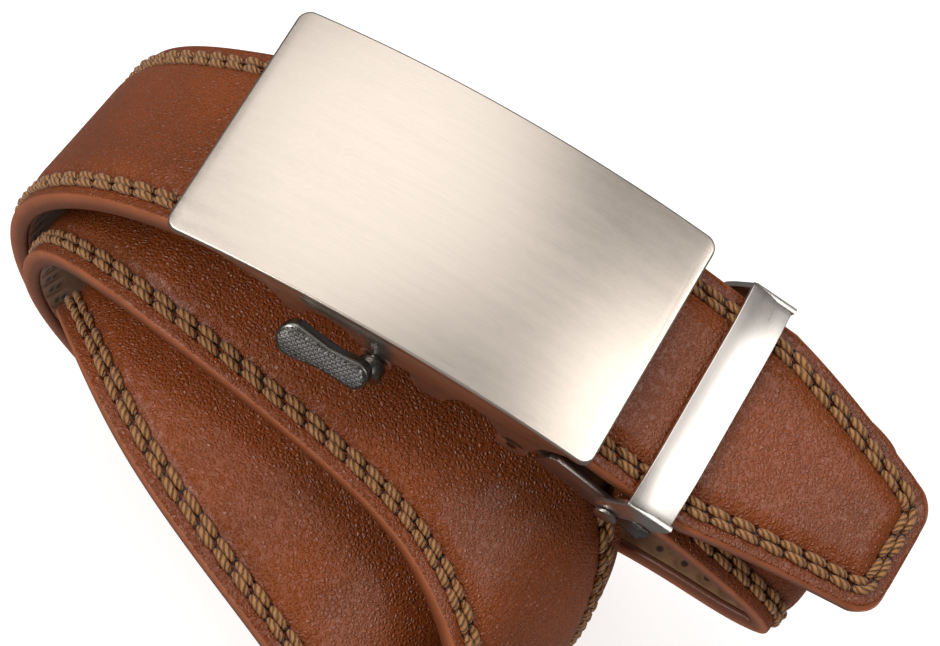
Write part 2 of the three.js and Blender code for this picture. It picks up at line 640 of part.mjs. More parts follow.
// Jaw: toothed bar under the fixed end, with an ear beside each edge of the strap
function makeJaw() {
  const start = CLIP_LENGTH + RUNNING_GAP;
  const end = start + JAW_LENGTH;
  const top = -JAW_TOOTH_HEIGHT;
  const bar = [[start, top], [start, top - JAW_THICKNESS], [end, top - JAW_THICKNESS], [end, top]];
  const pitch = JAW_LENGTH / JAW_TEETH;
  for (let tooth = JAW_TEETH - 1; tooth >= 0; tooth -= 1) {
    bar.push([start + pitch * (tooth + 0.6), 0], [start + pitch * (tooth + 0.05), top]);
  }
  const ear = [];
  const steps = 10;
  for (let index = 0; index <= steps; index += 1) {
    const angle = Math.PI + (Math.PI * index) / steps;
    const half = JAW_LENGTH / 2;
    const dip = JAW_EAR_HEIGHT * 0.4;
    ear.push([start + half + half * Math.cos(angle), dip + (dip + JAW_THICKNESS) * Math.sin(angle)]);
  }
  ear.push([end - JAW_EAR_CHAMFER, JAW_EAR_HEIGHT], [start + JAW_EAR_CHAMFER, JAW_EAR_HEIGHT]);
  const solids = [
    toSolid(pushAlongY(alongClip(bar), -CLIP_OUTER, CLIP_OUTER)),
    toSolid(pushAlongY(alongClip(ear), -CLIP_OUTER, -CLIP_INNER)),
    toSolid(pushAlongY(alongClip(ear), CLIP_INNER, CLIP_OUTER)),
  ];
  addPiece('clamp_jaw', toGeometry(join(solids)), gunmetal);
}

// Keeper. Its arm: out is a share of the bar's width, down of the keeper's drop
const KEEPER_ARM = [
  { out: 0.02, down: 0.02 },
  { out: 0.98, down: 0.23 },
  { out: 0.9, down: 0.44 },
  { out: 0.66, down: 0.72 },
  { out: 0.4, down: 0.66 },
  { out: 0.16, down: 0.78 },
  { out: -0.25, down: 1.02 },
  { out: -0.62, down: 0.84 },
  { out: -0.3, down: 0.4 },
  { out: -0.08, down: 0.14 },
];

function makeKeeper() {
  const slope = THREE.MathUtils.degToRad(KEEPER_SLOPE);
  const barAt = ([along, up]) => [
    KEEPER_X + along * Math.cos(slope) + up * Math.sin(slope),
    -KEEPER_DEPTH - along * Math.sin(slope) + up * Math.cos(slope),
  ];
  const bar = [[0, 0], [0, -KEEPER_THICKNESS], [KEEPER_WIDTH, -KEEPER_THICKNESS], [KEEPER_WIDTH, 0]];
  const arm = KEEPER_ARM.map(({ out, down }) => [
    KEEPER_X + out * KEEPER_WIDTH,
    -KEEPER_DEPTH - down * KEEPER_DROP,
  ]);
  const [[rivetX, rivetZ]] = alongClip([[RIVET_ALONG, RIVET_HEIGHT]]);
  const eye = RIVET_RADIUS + RUNNING_GAP + KEEPER_THICKNESS;
  const solids = [toSolid(pushAlongY(bar.map(barAt), -KEEPER_OUTER, KEEPER_OUTER))];
  [[-KEEPER_OUTER, -KEEPER_INNER], [KEEPER_INNER, KEEPER_OUTER]].forEach(([fromY, toY]) => {
    solids.push(toSolid(pushAlongY(arm, fromY, toY)));
    solids.push(toSolid(barAlongY(eye, rivetX, rivetZ, fromY, toY)));
  });
  const reach = KEEPER_OUTER + 1;
  const bore = toSolid(barAlongY(RIVET_RADIUS + RUNNING_GAP, rivetX, rivetZ, -reach, reach));
  addPiece('keeper', toGeometry(cut(join(solids), [bore])), brushedNickel);
}

function makeRivets() {
  const [[rivetX, rivetZ]] = alongClip([[RIVET_ALONG, RIVET_HEIGHT]]);
  const headStart = KEEPER_OUTER + RUNNING_GAP / 2;
  [-1, 1].forEach((side) => {
    const span = (from, to) => [side * from, side * to].sort((a, b) => a - b);
    const headEnd = headStart + RIVET_HEAD_HEIGHT;
    const shankEnd = (headStart + headEnd) / 2;
    const shank = barAlongY(RIVET_RADIUS, rivetX, rivetZ, ...span(CLIP_INNER, shankEnd));
    const head = barAlongY(RIVET_HEAD_RADIUS, rivetX, rivetZ, ...span(headStart, headEnd));
    const name = side < 0 ? 'keeper_rivet_near' : 'keeper_rivet_far';
    addPiece(name, toGeometry(join([shank, head].map(toSolid))), darkNickel);
  });
}

makeStrapFace();
makeStrapLining();
makeTrack();
makeBuckleFrame();
makeReleaseLever();
makeClip();
makeHingePin();
makeJaw();
makeKeeper();
makeRivets();

// Stand the belt on the surface, with the middle of its box over zero
const box = new THREE.Box3().setFromObject(belt);
belt.position.set(-(box.min.x + box.max.x) / 2, -(box.min.y + box.max.y) / 2, -box.min.z);

export default belt;
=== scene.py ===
"""Dresses the coiled ratchet belt: stitched leather, lining, thread and brushed metal buckle."""

import math
from collections import namedtuple

import bmesh
import bpy
import numpy as np
from mathutils import Matrix, Vector, noise


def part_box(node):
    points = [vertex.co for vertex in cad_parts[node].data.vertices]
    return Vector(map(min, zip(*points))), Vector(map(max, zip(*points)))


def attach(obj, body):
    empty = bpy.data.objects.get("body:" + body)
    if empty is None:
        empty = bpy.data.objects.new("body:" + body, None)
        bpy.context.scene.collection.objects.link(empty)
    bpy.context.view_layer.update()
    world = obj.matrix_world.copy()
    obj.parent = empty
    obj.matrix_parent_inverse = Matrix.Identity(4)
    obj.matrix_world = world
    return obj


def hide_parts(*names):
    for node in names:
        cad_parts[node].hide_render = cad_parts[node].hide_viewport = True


bl_info = {
    "name": "Ratchet Belt",
    "version": (1, 0, 0),
    "blender": (4, 5, 0),
    "location": "View3D > Sidebar > Belt",
    "description": "Stitched leather strap and brushed metal buckle of a coiled ratchet belt",
    "category": "Add Mesh",
}

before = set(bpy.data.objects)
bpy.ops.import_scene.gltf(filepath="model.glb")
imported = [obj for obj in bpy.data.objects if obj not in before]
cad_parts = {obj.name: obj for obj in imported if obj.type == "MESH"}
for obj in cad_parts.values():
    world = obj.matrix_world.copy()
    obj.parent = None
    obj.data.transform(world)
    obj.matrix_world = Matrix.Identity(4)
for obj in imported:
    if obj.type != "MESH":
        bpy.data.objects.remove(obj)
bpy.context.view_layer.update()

MM = 0.001

# Strap, in millimetres, as its solid has it
STRAP_WIDTH = 35
HALF_STRAP = STRAP_WIDTH / 2
STRAP_THICKNESS = 3.1
TIP_WIDTH = 20.5
TIP_TAPER = 33
TIP_CORNER = 3.5

# Buckle, in millimetres
PLATE_LENGTH = 70
HALF_PLATE_LENGTH = PLATE_LENGTH / 2
PLATE_CROWN = 4.8
PLATE_THICKNESS = 1.5
PLATE_CORNER = 2
PLATE_RADIUS = (HALF_PLATE_LENGTH**2 + PLATE_CROWN**2) / (2 * PLATE_CROWN)
WALL_DROP = 10
WALL_INNER = 18
WALL_OUTER = 19.6
HALF_PLATE_WIDTH = 20
LUG_RADIUS = 2.7

# Coil, in millimetres
COIL_LENGTH = 120
COIL_DEPTH = 100

# The middle of the face plate, on the level of its two ends
plate_low, plate_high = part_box("buckle_frame")
PLATE_ORIGIN = Vector(
    (
        (plate_low.x + plate_high.x) / 2,
        (plate_low.y + plate_high.y) / 2,
        plate_high.z - PLATE_CROWN * MM,
    )
)

Station = namedtuple("Station", "x y z lean")

# Stations of the strap's outer face from the tip to the fixed end: x as a share of half the
# plate or of the coil's length, y of the strap's width, z of the walls' drop or the coil's
# depth, and lean in degrees. The fixed run hugs the tip more closely than its solid does
TIP_RUN = [
    Station(2.39, -0.03, -2.2, 0),
    Station(2.086, -0.02, -1.65, 0),
    Station(1.771, -0.01, -1.2, 0),
    Station(1.486, 0, -0.94, 0),
    Station(1.2, 0, -0.72, 0),
    Station(0.886, 0, -0.32, 0),
    Station(0.514, 0, 0.02, 0),
    Station(0, 0, 0.12, 0),
    Station(-0.514, 0, -0.09, -3),
    Station(-0.943, 0, -0.72, -10),
]
COIL_RUN = [
    Station(-0.383, 0, -0.16, -13),
    Station(-0.475, 0, -0.29, -10),
    Station(-0.52, 0.01, -0.46, -6),
    Station(-0.52, 0.01, -0.64, -3),
    Station(-0.48, 0, -0.82, -1),
    Station(-0.383, -0.03, -0.95, 0),
    Station(-0.25, -0.09, -1, 0),
    Station(-0.1, -0.2, -1, 0),
    Station(0.03, -0.37, -1, 0),
    Station(0.15, -0.63, -1, 0),
    Station(0.246, -0.89, -0.98, 7),
    Station(0.312, -1.09, -0.86, 11),
    Station(0.342, -1.17, -0.7, 12),
    Station(0.35, -1.17, -0.54, 12),
    Station(0.346, -1.06, -0.4, 12),
    Station(0.308, -0.83, -0.285, 6),
    Station(0.208, -0.61, -0.215, 2),
    Station(0.083, -0.485, -0.19, 0),
    Station(-0.083, -0.385, -0.185, 0),
    Station(-0.242, -0.3, -0.2, -5),
    Station(-0.367, -0.2, -0.26, -10),
    Station(-0.442, -0.12, -0.37, -12),
    Station(-0.467, -0.12, -0.51, -12),
    Station(-0.454, -0.11, -0.66, -8),
    Station(-0.404, -0.1, -0.8, -4),
    Station(-0.317, -0.13, -0.905, 0),
    Station(-0.2, -0.26, -0.946, 0),
    Station(-0.067, -0.46, -0.946, 0),
    Station(0.05, -0.67, -0.944, 0),
    Station(0.142, -0.92, -0.91, 7),
    Station(0.204, -1.17, -0.81, 11),
    Station(0.237, -1.34, -0.65, 10),
    Station(0.246, -1.41, -0.5, 10),
    Station(0.233, -1.39, -0.39, 10),
    Station(0.179, -1.3, -0.335, 6),
    Station(0.083, -1.17, -0.3, 0),
    Station(-0.042, -1, -0.29, 0),
    Station(-0.167, -0.79, -0.3, -5),
    Station(-0.275, -0.51, -0.34, -14),
    Station(-0.35, -0.29, -0.42, -20),
    Station(-0.383, -0.17, -0.54, -16),
    Station(-0.371, -0.09, -0.67, -8),
    Station(-0.308, -0.04, -0.78, -3),
    Station(-0.208, 0, -0.835, 0),
    Station(-0.092, 0.04, -0.82, 0),
    Station(0.025, 0.09, -0.75, 0),
    Station(0.142, 0.11, -0.64, 2),
    Station(0.258, 0.11, -0.535, 4),
    Station(0.35, 0.09, -0.465, 6),
]
FIXED_RUN = [
    Station(1.514, 0.05, -4.32, 8),
    Station(1.84, 0.01, -4.25, 11),
    Station(2.09, 0, -3.75, 9),
    Station(2.05, 0, -2.9, 7),
    Station(1.8, 0, -2.3, 4),
    Station(1.514, 0, -1.85, 0),
    Station(1.286, 0, -1.51, 0),
    Station(1.114, 0, -1.25, 0),
]


def walk_strap(steps=16):
    """A uniform cubic B-spline through the stations: points, tangents, lean and run."""
    sizes = (
        (TIP_RUN, HALF_PLATE_LENGTH, WALL_DROP),
        (COIL_RUN, COIL_LENGTH, COIL_DEPTH),
        (FIXED_RUN, HALF_PLATE_LENGTH, WALL_DROP),
    )
    rows = [
        (place.x * length, place.y * STRAP_WIDTH, place.z * depth, math.radians(place.lean))
        for table, length, depth in sizes
        for place in table
    ]
    rows = np.array([rows[0], *rows, rows[-1], rows[-1]], float)
    spans = len(rows) - 4
    u = np.arange(steps) / steps
    weights = np.stack(
        [(1 - u) ** 3, 3 * u**3 - 6 * u**2 + 4, -3 * u**3 + 3 * u**2 + 3 * u + 1, u**3], 1
    )
    slopes = np.stack([-((1 - u) ** 2), 3 * u**2 - 4 * u, -3 * u**2 + 2 * u + 1, u**2], 1)
    last = rows[spans : spans + 4]
    line = np.vstack([weights @ rows[k : k + 4] for k in range(spans)] + [weights[:1] @ last]) / 6
    turn = np.vstack([slopes @ rows[k : k + 4] for k in range(spans)] + [slopes[:1] @ last])[:, :3]
    turn /= np.linalg.norm(turn, axis=1)[:, None]
    gaps = np.linalg.norm(np.diff(line[:, :3], axis=0), axis=1)
    return line[:, :3], turn, line[:, 3], np.concatenate([[0], np.cumsum(gaps)])


LINE_POINT, LINE_ALONG, LINE_LEAN, LINE_RUN = walk_strap()
STRAP_LENGTH = LINE_RUN[-1]


def lay_on_strap(flat):
    """Carries flat points (run, side, height), in millimetres, onto the coiled strap, in metres."""
    flat = np.asarray(flat, float)
    run, side, height = flat[:, 0], flat[:, 1:2], flat[:, 2:3]
    point = np.stack([np.interp(run, LINE_RUN, LINE_POINT[:, k]) for k in range(3)], 1)
    along = np.stack([np.interp(run, LINE_RUN, LINE_ALONG[:, k]) for k in range(3)], 1)
    along /= np.linalg.norm(along, axis=1)[:, None]
    lean = np.interp(run, LINE_RUN, LINE_LEAN)[:, None]
    across = np.array([0, 1, 0]) - along[:, 1:2] * along
    across /= np.linalg.norm(across, axis=1)[:, None]
    outward = np.cross(across, along)
    turned = across * np.cos(lean) + outward * np.sin(lean)
    lifted = outward * np.cos(lean) - across * np.sin(lean)
    overrun = (run - np.clip(run, 0, STRAP_LENGTH))[:, None] * along
    placed = point + overrun + side * turned + height * lifted
    return placed * MM + np.array(PLATE_ORIGIN)


def half_width(run):
    """Half the strap's width at a run from the tip, with the taper and the round corners."""
    taper = TIP_WIDTH / 2 + (HALF_STRAP - TIP_WIDTH / 2) * np.minimum(1, run / TIP_TAPER)
    inside = np.clip(TIP_CORNER - run, 0, TIP_CORNER)
    return taper - (TIP_CORNER - np.sqrt(TIP_CORNER**2 - inside**2))


# Seam: two rows of stitches side by side along the strap's edges and round its tip
SEAM_INSET = 3.35
SEAM_END = 6
SEAM_SMOOTHING = 22
TIP_ZONE = 45
TIP_OVERLAP = 5


def seam_line(step=0.1):
    """The seam's middle line on the flat strap: run, side and length from the tip's middle."""
    edge = np.array([TIP_TAPER, HALF_STRAP - TIP_WIDTH / 2])
    edge /= np.linalg.norm(edge)
    start = np.array([0, TIP_WIDTH / 2]) + SEAM_INSET * np.array([edge[1], -edge[0]])
    corner = start + edge * (SEAM_INSET - start[0]) / edge[0]
    level = HALF_STRAP - SEAM_INSET
    shoulder = start + edge * (level - start[1]) / edge[1]
    end = np.array([STRAP_LENGTH - SEAM_END, level])
    marks = np.array([(SEAM_INSET, 0), corner, shoulder, end])
    gaps = np.concatenate([[0], np.cumsum(np.linalg.norm(np.diff(marks, axis=0), axis=1))])
    places = np.arange(0, gaps[-1], step)
    half = np.stack([np.interp(places, gaps, marks[:, k]) for k in range(2)], 1)
    mirrored = half[:0:-1] * np.array([1, -1])
    whole = np.vstack([mirrored, half])
    reach = SEAM_SMOOTHING
    window = np.ones(2 * reach + 1) / (2 * reach + 1)
    for _ in range(2):
        ends = np.pad(whole, ((reach, reach), (0, 0)), mode="edge")
        whole = np.stack([np.convolve(ends[:, k], window, mode="valid") for k in range(2)], 1)
    whole = whole[2 * reach : -2 * reach]
    length = np.concatenate([[0], np.cumsum(np.linalg.norm(np.diff(whole, axis=0), axis=1))])
    middle = np.argmin(np.abs(whole[:, 1]) + whole[:, 0])
    return whole, length - length[middle]


SEAM, SEAM_LENGTH = seam_line()
SEAM_TURN = np.gradient(SEAM, axis=0)
SEAM_TURN /= np.linalg.norm(SEAM_TURN, axis=1)[:, None]
SEAM_INWARD = np.stack([SEAM_TURN[:, 1], -SEAM_TURN[:, 0]], 1)


def along_seam(length, inward):
    """Flat places (run, side) at a length along the seam and a distance inward of its middle."""
    place = np.stack([np.interp(length, SEAM_LENGTH, SEAM[:, k]) for k in range(2)], 1)
    normal = np.stack([np.interp(length, SEAM_LENGTH, SEAM_INWARD[:, k]) for k in range(2)], 1)
    return place + normal * np.asarray(inward)[:, None]


def seam_places(run, side):
    """For flat places: the length along the seam and the distance from the strap's edge."""
    run, side = np.asarray(run, float), np.asarray(side, float)
    sign = np.where(side < 0, -1.0, 1.0)
    past_tip = np.argmin(np.abs(SEAM[:, 0] - TIP_ZONE) + np.where(SEAM[:, 1] < 0, 1e3, 0))
    length = sign * (SEAM_LENGTH[past_tip] + run - TIP_ZONE)
    inset = HALF_STRAP - np.abs(side)
    near = np.flatnonzero(run < TIP_ZONE)
    local = np.flatnonzero(SEAM[:, 0] < TIP_ZONE + TIP_OVERLAP)[::3]
    for chunk in np.array_split(near, max(1, len(near) // 2000)):
        gap = np.stack([run[chunk], side[chunk]], 1)[:, None] - SEAM[local][None]
        best = np.argmin((gap**2).sum(2), axis=1)
        nearest = local[best]
        offset = np.stack([run[chunk], side[chunk]], 1) - SEAM[nearest]
        length[chunk] = SEAM_LENGTH[nearest]
        inset[chunk] = SEAM_INSET + (offset * SEAM_INWARD[nearest]).sum(1)
    return length, inset


def settings():
    return bpy.context.scene.belt


def stitch_pitch():
    return settings().strap.stitch_pitch / MM


# Mesh helpers


def finish_piece(name, bm, material, body, nodes=()):
    """Turns a bmesh into a piece of the belt that rides on a body."""
    mesh = bpy.data.meshes.new(name)
    bm.to_mesh(mesh)
    bm.free()
    mesh.materials.append(material)
    piece = bpy.data.objects.new(name, mesh)
    bpy.context.scene.collection.objects.link(piece)
    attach(piece, body)
    if nodes:
        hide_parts(*nodes)
    return piece


def join(bm, part):
    """Adds a finished part's mesh to a piece's mesh."""
    mesh = bpy.data.meshes.new("part")
    part.to_mesh(mesh)
    part.free()
    bm.from_mesh(mesh)
    bpy.data.meshes.remove(mesh)


def write_map(bm, name, first, second):
    """Keeps two values of each vertex as a UV map."""
    bm.verts.index_update()
    layer = bm.loops.layers.uv.new(name)
    for face in bm.faces:
        for corner in face.loops:
            number = corner.vert.index
            corner[layer].uv = (first[number], second[number])


def cut_across(bm, place, direction):
    bmesh.ops.bisect_plane(
        bm,
        geom=bm.verts[:] + bm.edges[:] + bm.faces[:],
        dist=0.001,
        plane_co=place,
        plane_no=direction,
    )


def smooth_all(bm):
    for face in bm.faces:
        face.smooth = True


def sharpen(bm, degrees):
    """Keeps edges crisp where the faces beside them turn by more than an angle."""
    limit = math.radians(degrees)
    for edge in bm.edges:
        if len(edge.link_faces) == 2:
            edge.smooth = edge.calc_face_angle(0) < limit


def edges_between(bm, degrees, chosen=None):
    """Edges whose two faces turn by more than an angle."""
    limit = math.radians(degrees)
    return [
        edge
        for edge in (chosen or bm.edges)
        if len(edge.link_faces) == 2 and edge.calc_face_angle(0) > limit
    ]


def round_edges(bm, edges, width, segments=3):
    bmesh.ops.bevel(
        bm,
        geom=edges,
        offset=width,
        segments=segments,
        profile=0.5,
        affect="EDGES",
        material=-1,
        clamp_overlap=True,
    )


def solid_from_outline(bm, outline, low, high):
    """Closed solid from an outline of (x, z) pushed along Y, in plate millimetres."""
    corners = [bm.verts.new((x, low, z)) for x, z in outline]
    face = bm.faces.new(corners)
    pushed = bmesh.ops.extrude_face_region(bm, geom=[face])["geom"]
    moved = [item for item in pushed if isinstance(item, bmesh.types.BMVert)]
    bmesh.ops.translate(bm, verts=moved, vec=(0, high - low, 0))
    solid = set(corners) | set(moved)
    faces = [item for item in bm.faces if all(vert in solid for vert in item.verts)]
    bmesh.ops.recalc_face_normals(bm, faces=faces)
    return faces


def bar_along_y(bm, radius, x, z, low, high, segments=32):
    """Round bar along Y, in plate millimetres."""
    turn = Matrix.Rotation(math.radians(90), 4, "X")
    place = Matrix.Translation((x, (low + high) / 2, z))
    made = bmesh.ops.create_cone(
        bm,
        cap_ends=True,
        segments=segments,
        radius1=radius,
        radius2=radius,
        depth=high - low,
        matrix=place @ turn,
    )
    return made["verts"]


def edges_of(verts):
    """Edges with both ends among the given vertices."""
    chosen = set(verts)
    near = {edge for vert in verts for edge in vert.link_edges}
    return [edge for edge in near if set(edge.verts) <= chosen]


def from_plate(bm):
    """Carries a mesh drawn in plate millimetres to its place, in metres."""
    place = Matrix.Translation(PLATE_ORIGIN) @ Matrix.Scale(MM, 4)
    bmesh.ops.transform(bm, matrix=place, verts=bm.verts)


def copy_of_node(name, rounding=0.0):
    """A merged copy of a CAD node's mesh, with its flat faces whole again and edges rounded."""
    bm = bmesh.new()
    bm.from_mesh(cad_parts[name].data)
    bmesh.ops.remove_doubles(bm, verts=bm.verts, dist=0.002 * MM)
    bmesh.ops.dissolve_limit(
        bm, angle_limit=math.radians(0.4), verts=bm.verts, edges=bm.edges
    )
    if rounding:
        round_edges(bm, edges_between(bm, 35), rounding * MM, 2)
    smooth_all(bm)
    sharpen(bm, 30)
    return bm


# Material helpers


def plug(tree, socket, value):
    if isinstance(value, bpy.types.NodeSocket):
        tree.links.new(value, socket)
    elif value is not None:
        socket.default_value = value


def add_node(tree, kind, options=None, **inputs):
    made = tree.nodes.new("ShaderNode" + kind)
    for key, value in (options or {}).items():
        setattr(made, key, value)
    for key, value in inputs.items():
        plug(tree, made.inputs[key.replace("_", " ")], value)
    return made


def maths(tree, operation, *values):
    made = tree.nodes.new("ShaderNodeMath")
    made.operation = operation
    for socket, value in zip(made.inputs, values):
        plug(tree, socket, value)
    return made.outputs[0]


def without(tree, value):
    return maths(tree, "SUBTRACT", 1.0, value)


def dark_to(colour, share):
    return (colour[0] * share, colour[1] * share, colour[2] * share, 1)


def fade(tree, value, low, high):
    """0 below low, 1 above high and smooth between them."""
    made = add_node(tree, "MapRange", {"interpolation_type": "SMOOTHSTEP"}, Value=value)
    made.inputs["From Min"].default_value = low
    made.inputs["From Max"].default_value = high
    return made.outputs["Result"]


def mix_colour(tree, factor, first, second):
    made = tree.nodes.new("ShaderNodeMix")
    made.data_type = "RGBA"
    plug(tree, made.inputs[0], factor)
    plug(tree, made.inputs[6], first)
    plug(tree, made.inputs[7], second)
    return made.outputs[2]


def scaled_coordinates(tree, scale=(1, 1, 1)):
    source = tree.nodes.new("ShaderNodeTexCoord").outputs["Object"]
    return add_node(tree, "Mapping", None, Vector=source, Scale=scale).outputs["Vector"]


def noise_of(tree, vector, scale, detail=2.0, roughness=0.5):
    made = add_node(
        tree, "TexNoise", None, Vector=vector, Scale=scale, Detail=detail, Roughness=roughness
    )
    return made.outputs["Fac"]


def bump_of(tree, height, distance, normal=None):
    made = add_node(tree, "Bump", None, Height=height, Distance=distance, Strength=1.0)
    plug(tree, made.inputs["Normal"], normal)
    return made.outputs["Normal"]


def new_material(name, **uniform):
    material = bpy.data.materials.new(name)
    material.use_nodes = True
    tree = material.node_tree
    tree.nodes.clear()
    output = tree.nodes.new("ShaderNodeOutputMaterial")
    shader = tree.nodes.new("ShaderNodeBsdfPrincipled")
    tree.links.new(shader.outputs["BSDF"], output.inputs["Surface"])
    for key, value in uniform.items():
        shader.inputs[key.replace("_", " ")].default_value = value
    return material, tree, shader


def seam_coordinates(tree):
    """Length along the seam in stitches, and distance from the strap's edge in millimetres."""
    source = add_node(tree, "UVMap", {"uv_map": "seam"}).outputs["UV"]
    parts = add_node(tree, "SeparateXYZ", None, Vector=source)
    return parts.outputs["X"], maths(tree, "MULTIPLY", parts.outputs["Y"], 10.0)


# Needle holes of the two rows: distance from the edge and stagger along the seam
ROW_OFFSET = 0.7
ROW_STAGGER = 0.25
HOLE_ROWS = ((SEAM_INSET - ROW_OFFSET, ROW_STAGGER), (SEAM_INSET + ROW_OFFSET, 0.0))


def needle_holes(tree, stitches, inset, size):
    """1 in the needle holes between the stitches of each row, 0 elsewhere."""
    pitch = stitch_pitch()
    holes = None
    for row, stagger in HOLE_ROWS:
        shifted = maths(tree, "FRACT", maths(tree, "SUBTRACT", stitches, stagger))
        along = maths(tree, "MULTIPLY", maths(tree, "SUBTRACT", shifted, 0.5), pitch)
        beside = maths(tree, "SUBTRACT", inset, row)
        square = maths(tree, "MULTIPLY_ADD", beside, beside, maths(tree, "MULTIPLY", along, along))
        distance = maths(tree, "SQRT", square)
        hole = without(tree, fade(tree, distance, size * 0.45, size))
        holes = hole if holes is None else maths(tree, "MAXIMUM", holes, hole)
    return holes


def leather_grain(tree):
    """Pebbled grain: soft cells with creases between them, 0 in the creases."""
    scale = GRAIN_SCALE
    coordinates = scaled_coordinates(tree)
    shake = add_node(tree, "TexNoise", None, Vector=coordinates, Scale=scale * 0.45, Detail=2.0)
    moved = add_node(tree, "VectorMath", {"operation": "MULTIPLY_ADD"})
    tree.links.new(shake.outputs["Color"], moved.inputs[0])
    moved.inputs[1].default_value = (0.9 / scale,) * 3
    tree.links.new(coordinates, moved.inputs[2])
    moved = moved.outputs["Vector"]
    cells = add_node(
        tree, "TexVoronoi", {"feature": "DISTANCE_TO_EDGE"}, Vector=moved, Scale=scale
    )
    distance = cells.outputs["Distance"]
    return fade(tree, distance, 0.0, 0.42), fade(tree, distance, 0.02, 0.2), coordinates


# Patterns of the finishes: cells to a metre, and depths and sizes in millimetres
GRAIN_SCALE = 1500.0
GRAIN_DEPTH = 0.2
CREASE_SCALE = 1200.0
CREASE_DEPTH = 0.08
PATCH_SCALE = 42.0
STREAK_SCALE = 260.0
STREAK_DEPTH = 0.03
HOLE_SIZE = 0.8
HOLE_DEPTH = 0.3
DIMPLE_SIZE = 1.9
DIMPLE_DEPTH = 0.25
NAP_SCALE = 1500.0
NAP_DEPTH = 0.08
FIBRE_SCALE = 2600.0
FIBRE_DEPTH = 0.05
STRAND_DEPTH = 0.3
CAST_DEPTH = 0.03
# Painted shade: near black that fills the needle holes
HOLE_SHADE_COLOUR = (0.03, 0.012, 0.006, 1)
RESIN_COLOURS = ((0.018, 0.014, 0.012, 1), (0.04, 0.032, 0.027, 1))

# Distances from the edge over which the rubbed border and the painted rim fade out
RUB_ENDS = (4.2, 6.4)
RIM_ENDS = (0.15, 0.55)


def make_leather():
    """Glossy pebbled leather with a painted edge and needle holes, with shade painted into the
    grain's creases, down the rim and into the holes.
    """
    strap = settings().strap
    colour = (*strap.leather_colour, 1)
    material, tree, shader = new_material(
        "saddle_leather", Coat_Weight=0.15, Coat_Roughness=0.2, Specular_IOR_Level=0.5
    )
    grain, crown, coordinates = leather_grain(tree)
    creases = noise_of(tree, coordinates, CREASE_SCALE, 3.0, 0.6)
    patches = noise_of(tree, coordinates, PATCH_SCALE, 3.0, 0.55)
    stitches, inset = seam_coordinates(tree)
    dark = tuple(c * k for c, k in zip(colour, (0.58, 0.5, 0.45))) + (1,)
    warm = tuple(min(1, c * k) for c, k in zip(colour, (1.16, 1.08, 0.95))) + (1,)
    body = mix_colour(tree, fade(tree, patches, 0.3, 0.7), dark_to(colour, 0.82), warm)
    # Painted shade: the creases between the grain's cells are painted darker; the same mask also
    # roughens them
    crease_and_painted_shade = without(tree, crown)
    body = mix_colour(tree, maths(tree, "MULTIPLY", crease_and_painted_shade, 0.25), body, dark)
    rub = without(tree, fade(tree, inset, *RUB_ENDS))
    body = mix_colour(tree, maths(tree, "MULTIPLY", rub, 0.35), body, dark)
    paint = (*strap.edge_colour, 1)
    streaks = noise_of(tree, coordinates, STREAK_SCALE, 4.0, 0.6)
    # Painted highlight and shade: the edge paint is lighter at the rim's top and darker lower down
    # it
    rim_shade = fade(tree, maths(tree, "MULTIPLY", inset, -1.0), 0.3, 2.3)
    edge = mix_colour(tree, rim_shade, paint, dark_to(paint, 0.42))
    stained = mix_colour(tree, 0.25, edge, dark_to(paint, 0.3))
    edge = mix_colour(tree, fade(tree, streaks, 0.35, 0.7), stained, edge)
    rim = without(tree, fade(tree, inset, *RIM_ENDS))
    body = mix_colour(tree, rim, body, edge)
    holes = needle_holes(tree, stitches, inset, HOLE_SIZE)
    # Painted shade: the needle holes are painted near black
    body = mix_colour(tree, holes, body, HOLE_SHADE_COLOUR)
    tree.links.new(body, shader.inputs["Base Color"])
    open_face = without(tree, rim)
    rough = maths(tree, "MULTIPLY_ADD", creases, 0.08, 0.24)
    rough = maths(tree, "MULTIPLY_ADD", rim, 0.12, rough)
    rough = maths(tree, "MULTIPLY_ADD", crease_and_painted_shade, 0.1, rough)
    tree.links.new(rough, shader.inputs["Roughness"])
    normal = bump_of(tree, maths(tree, "MULTIPLY", grain, open_face), GRAIN_DEPTH * MM)
    folds = maths(tree, "MULTIPLY", creases, open_face)
    normal = bump_of(tree, folds, CREASE_DEPTH * MM, normal)
    normal = bump_of(tree, streaks, STREAK_DEPTH * MM, normal)
    normal = bump_of(tree, without(tree, holes), HOLE_DEPTH * MM, normal)
    tree.links.new(normal, shader.inputs["Normal"])
    return material


def make_lining():
    """Matt tan leather with its rows of needle holes, each in a dimple, with shade painted into the
    holes and dimples.
    """
    colour = (*settings().strap.lining_colour, 1)
    material, tree, shader = new_material("tan_lining", Sheen_Weight=0.15, Sheen_Roughness=0.5)
    coordinates = scaled_coordinates(tree)
    nap = noise_of(tree, coordinates, NAP_SCALE, 4.0, 0.65)
    patches = noise_of(tree, coordinates, 70.0, 3.0, 0.55)
    stitches, inset = seam_coordinates(tree)
    body = mix_colour(tree, fade(tree, patches, 0.3, 0.7), dark_to(colour, 0.84), colour)
    body = mix_colour(tree, maths(tree, "MULTIPLY", nap, 0.35), body, dark_to(colour, 0.6))
    holes = needle_holes(tree, stitches, inset, 0.75)
    dimples = needle_holes(tree, stitches, inset, DIMPLE_SIZE)
    # Painted shade: the dimples and the needle holes are painted darker
    body = mix_colour(tree, maths(tree, "MULTIPLY", dimples, 0.3), body, dark_to(colour, 0.5))
    body = mix_colour(tree, holes, body, dark_to(colour, 0.12))
    tree.links.new(body, shader.inputs["Base Color"])
    tree.links.new(maths(tree, "MULTIPLY_ADD", nap, 0.2, 0.62), shader.inputs["Roughness"])
    normal = bump_of(tree, nap, NAP_DEPTH * MM)
    normal = bump_of(tree, without(tree, dimples), DIMPLE_DEPTH * MM, normal)
    tree.links.new(normal, shader.inputs["Normal"])
    return material


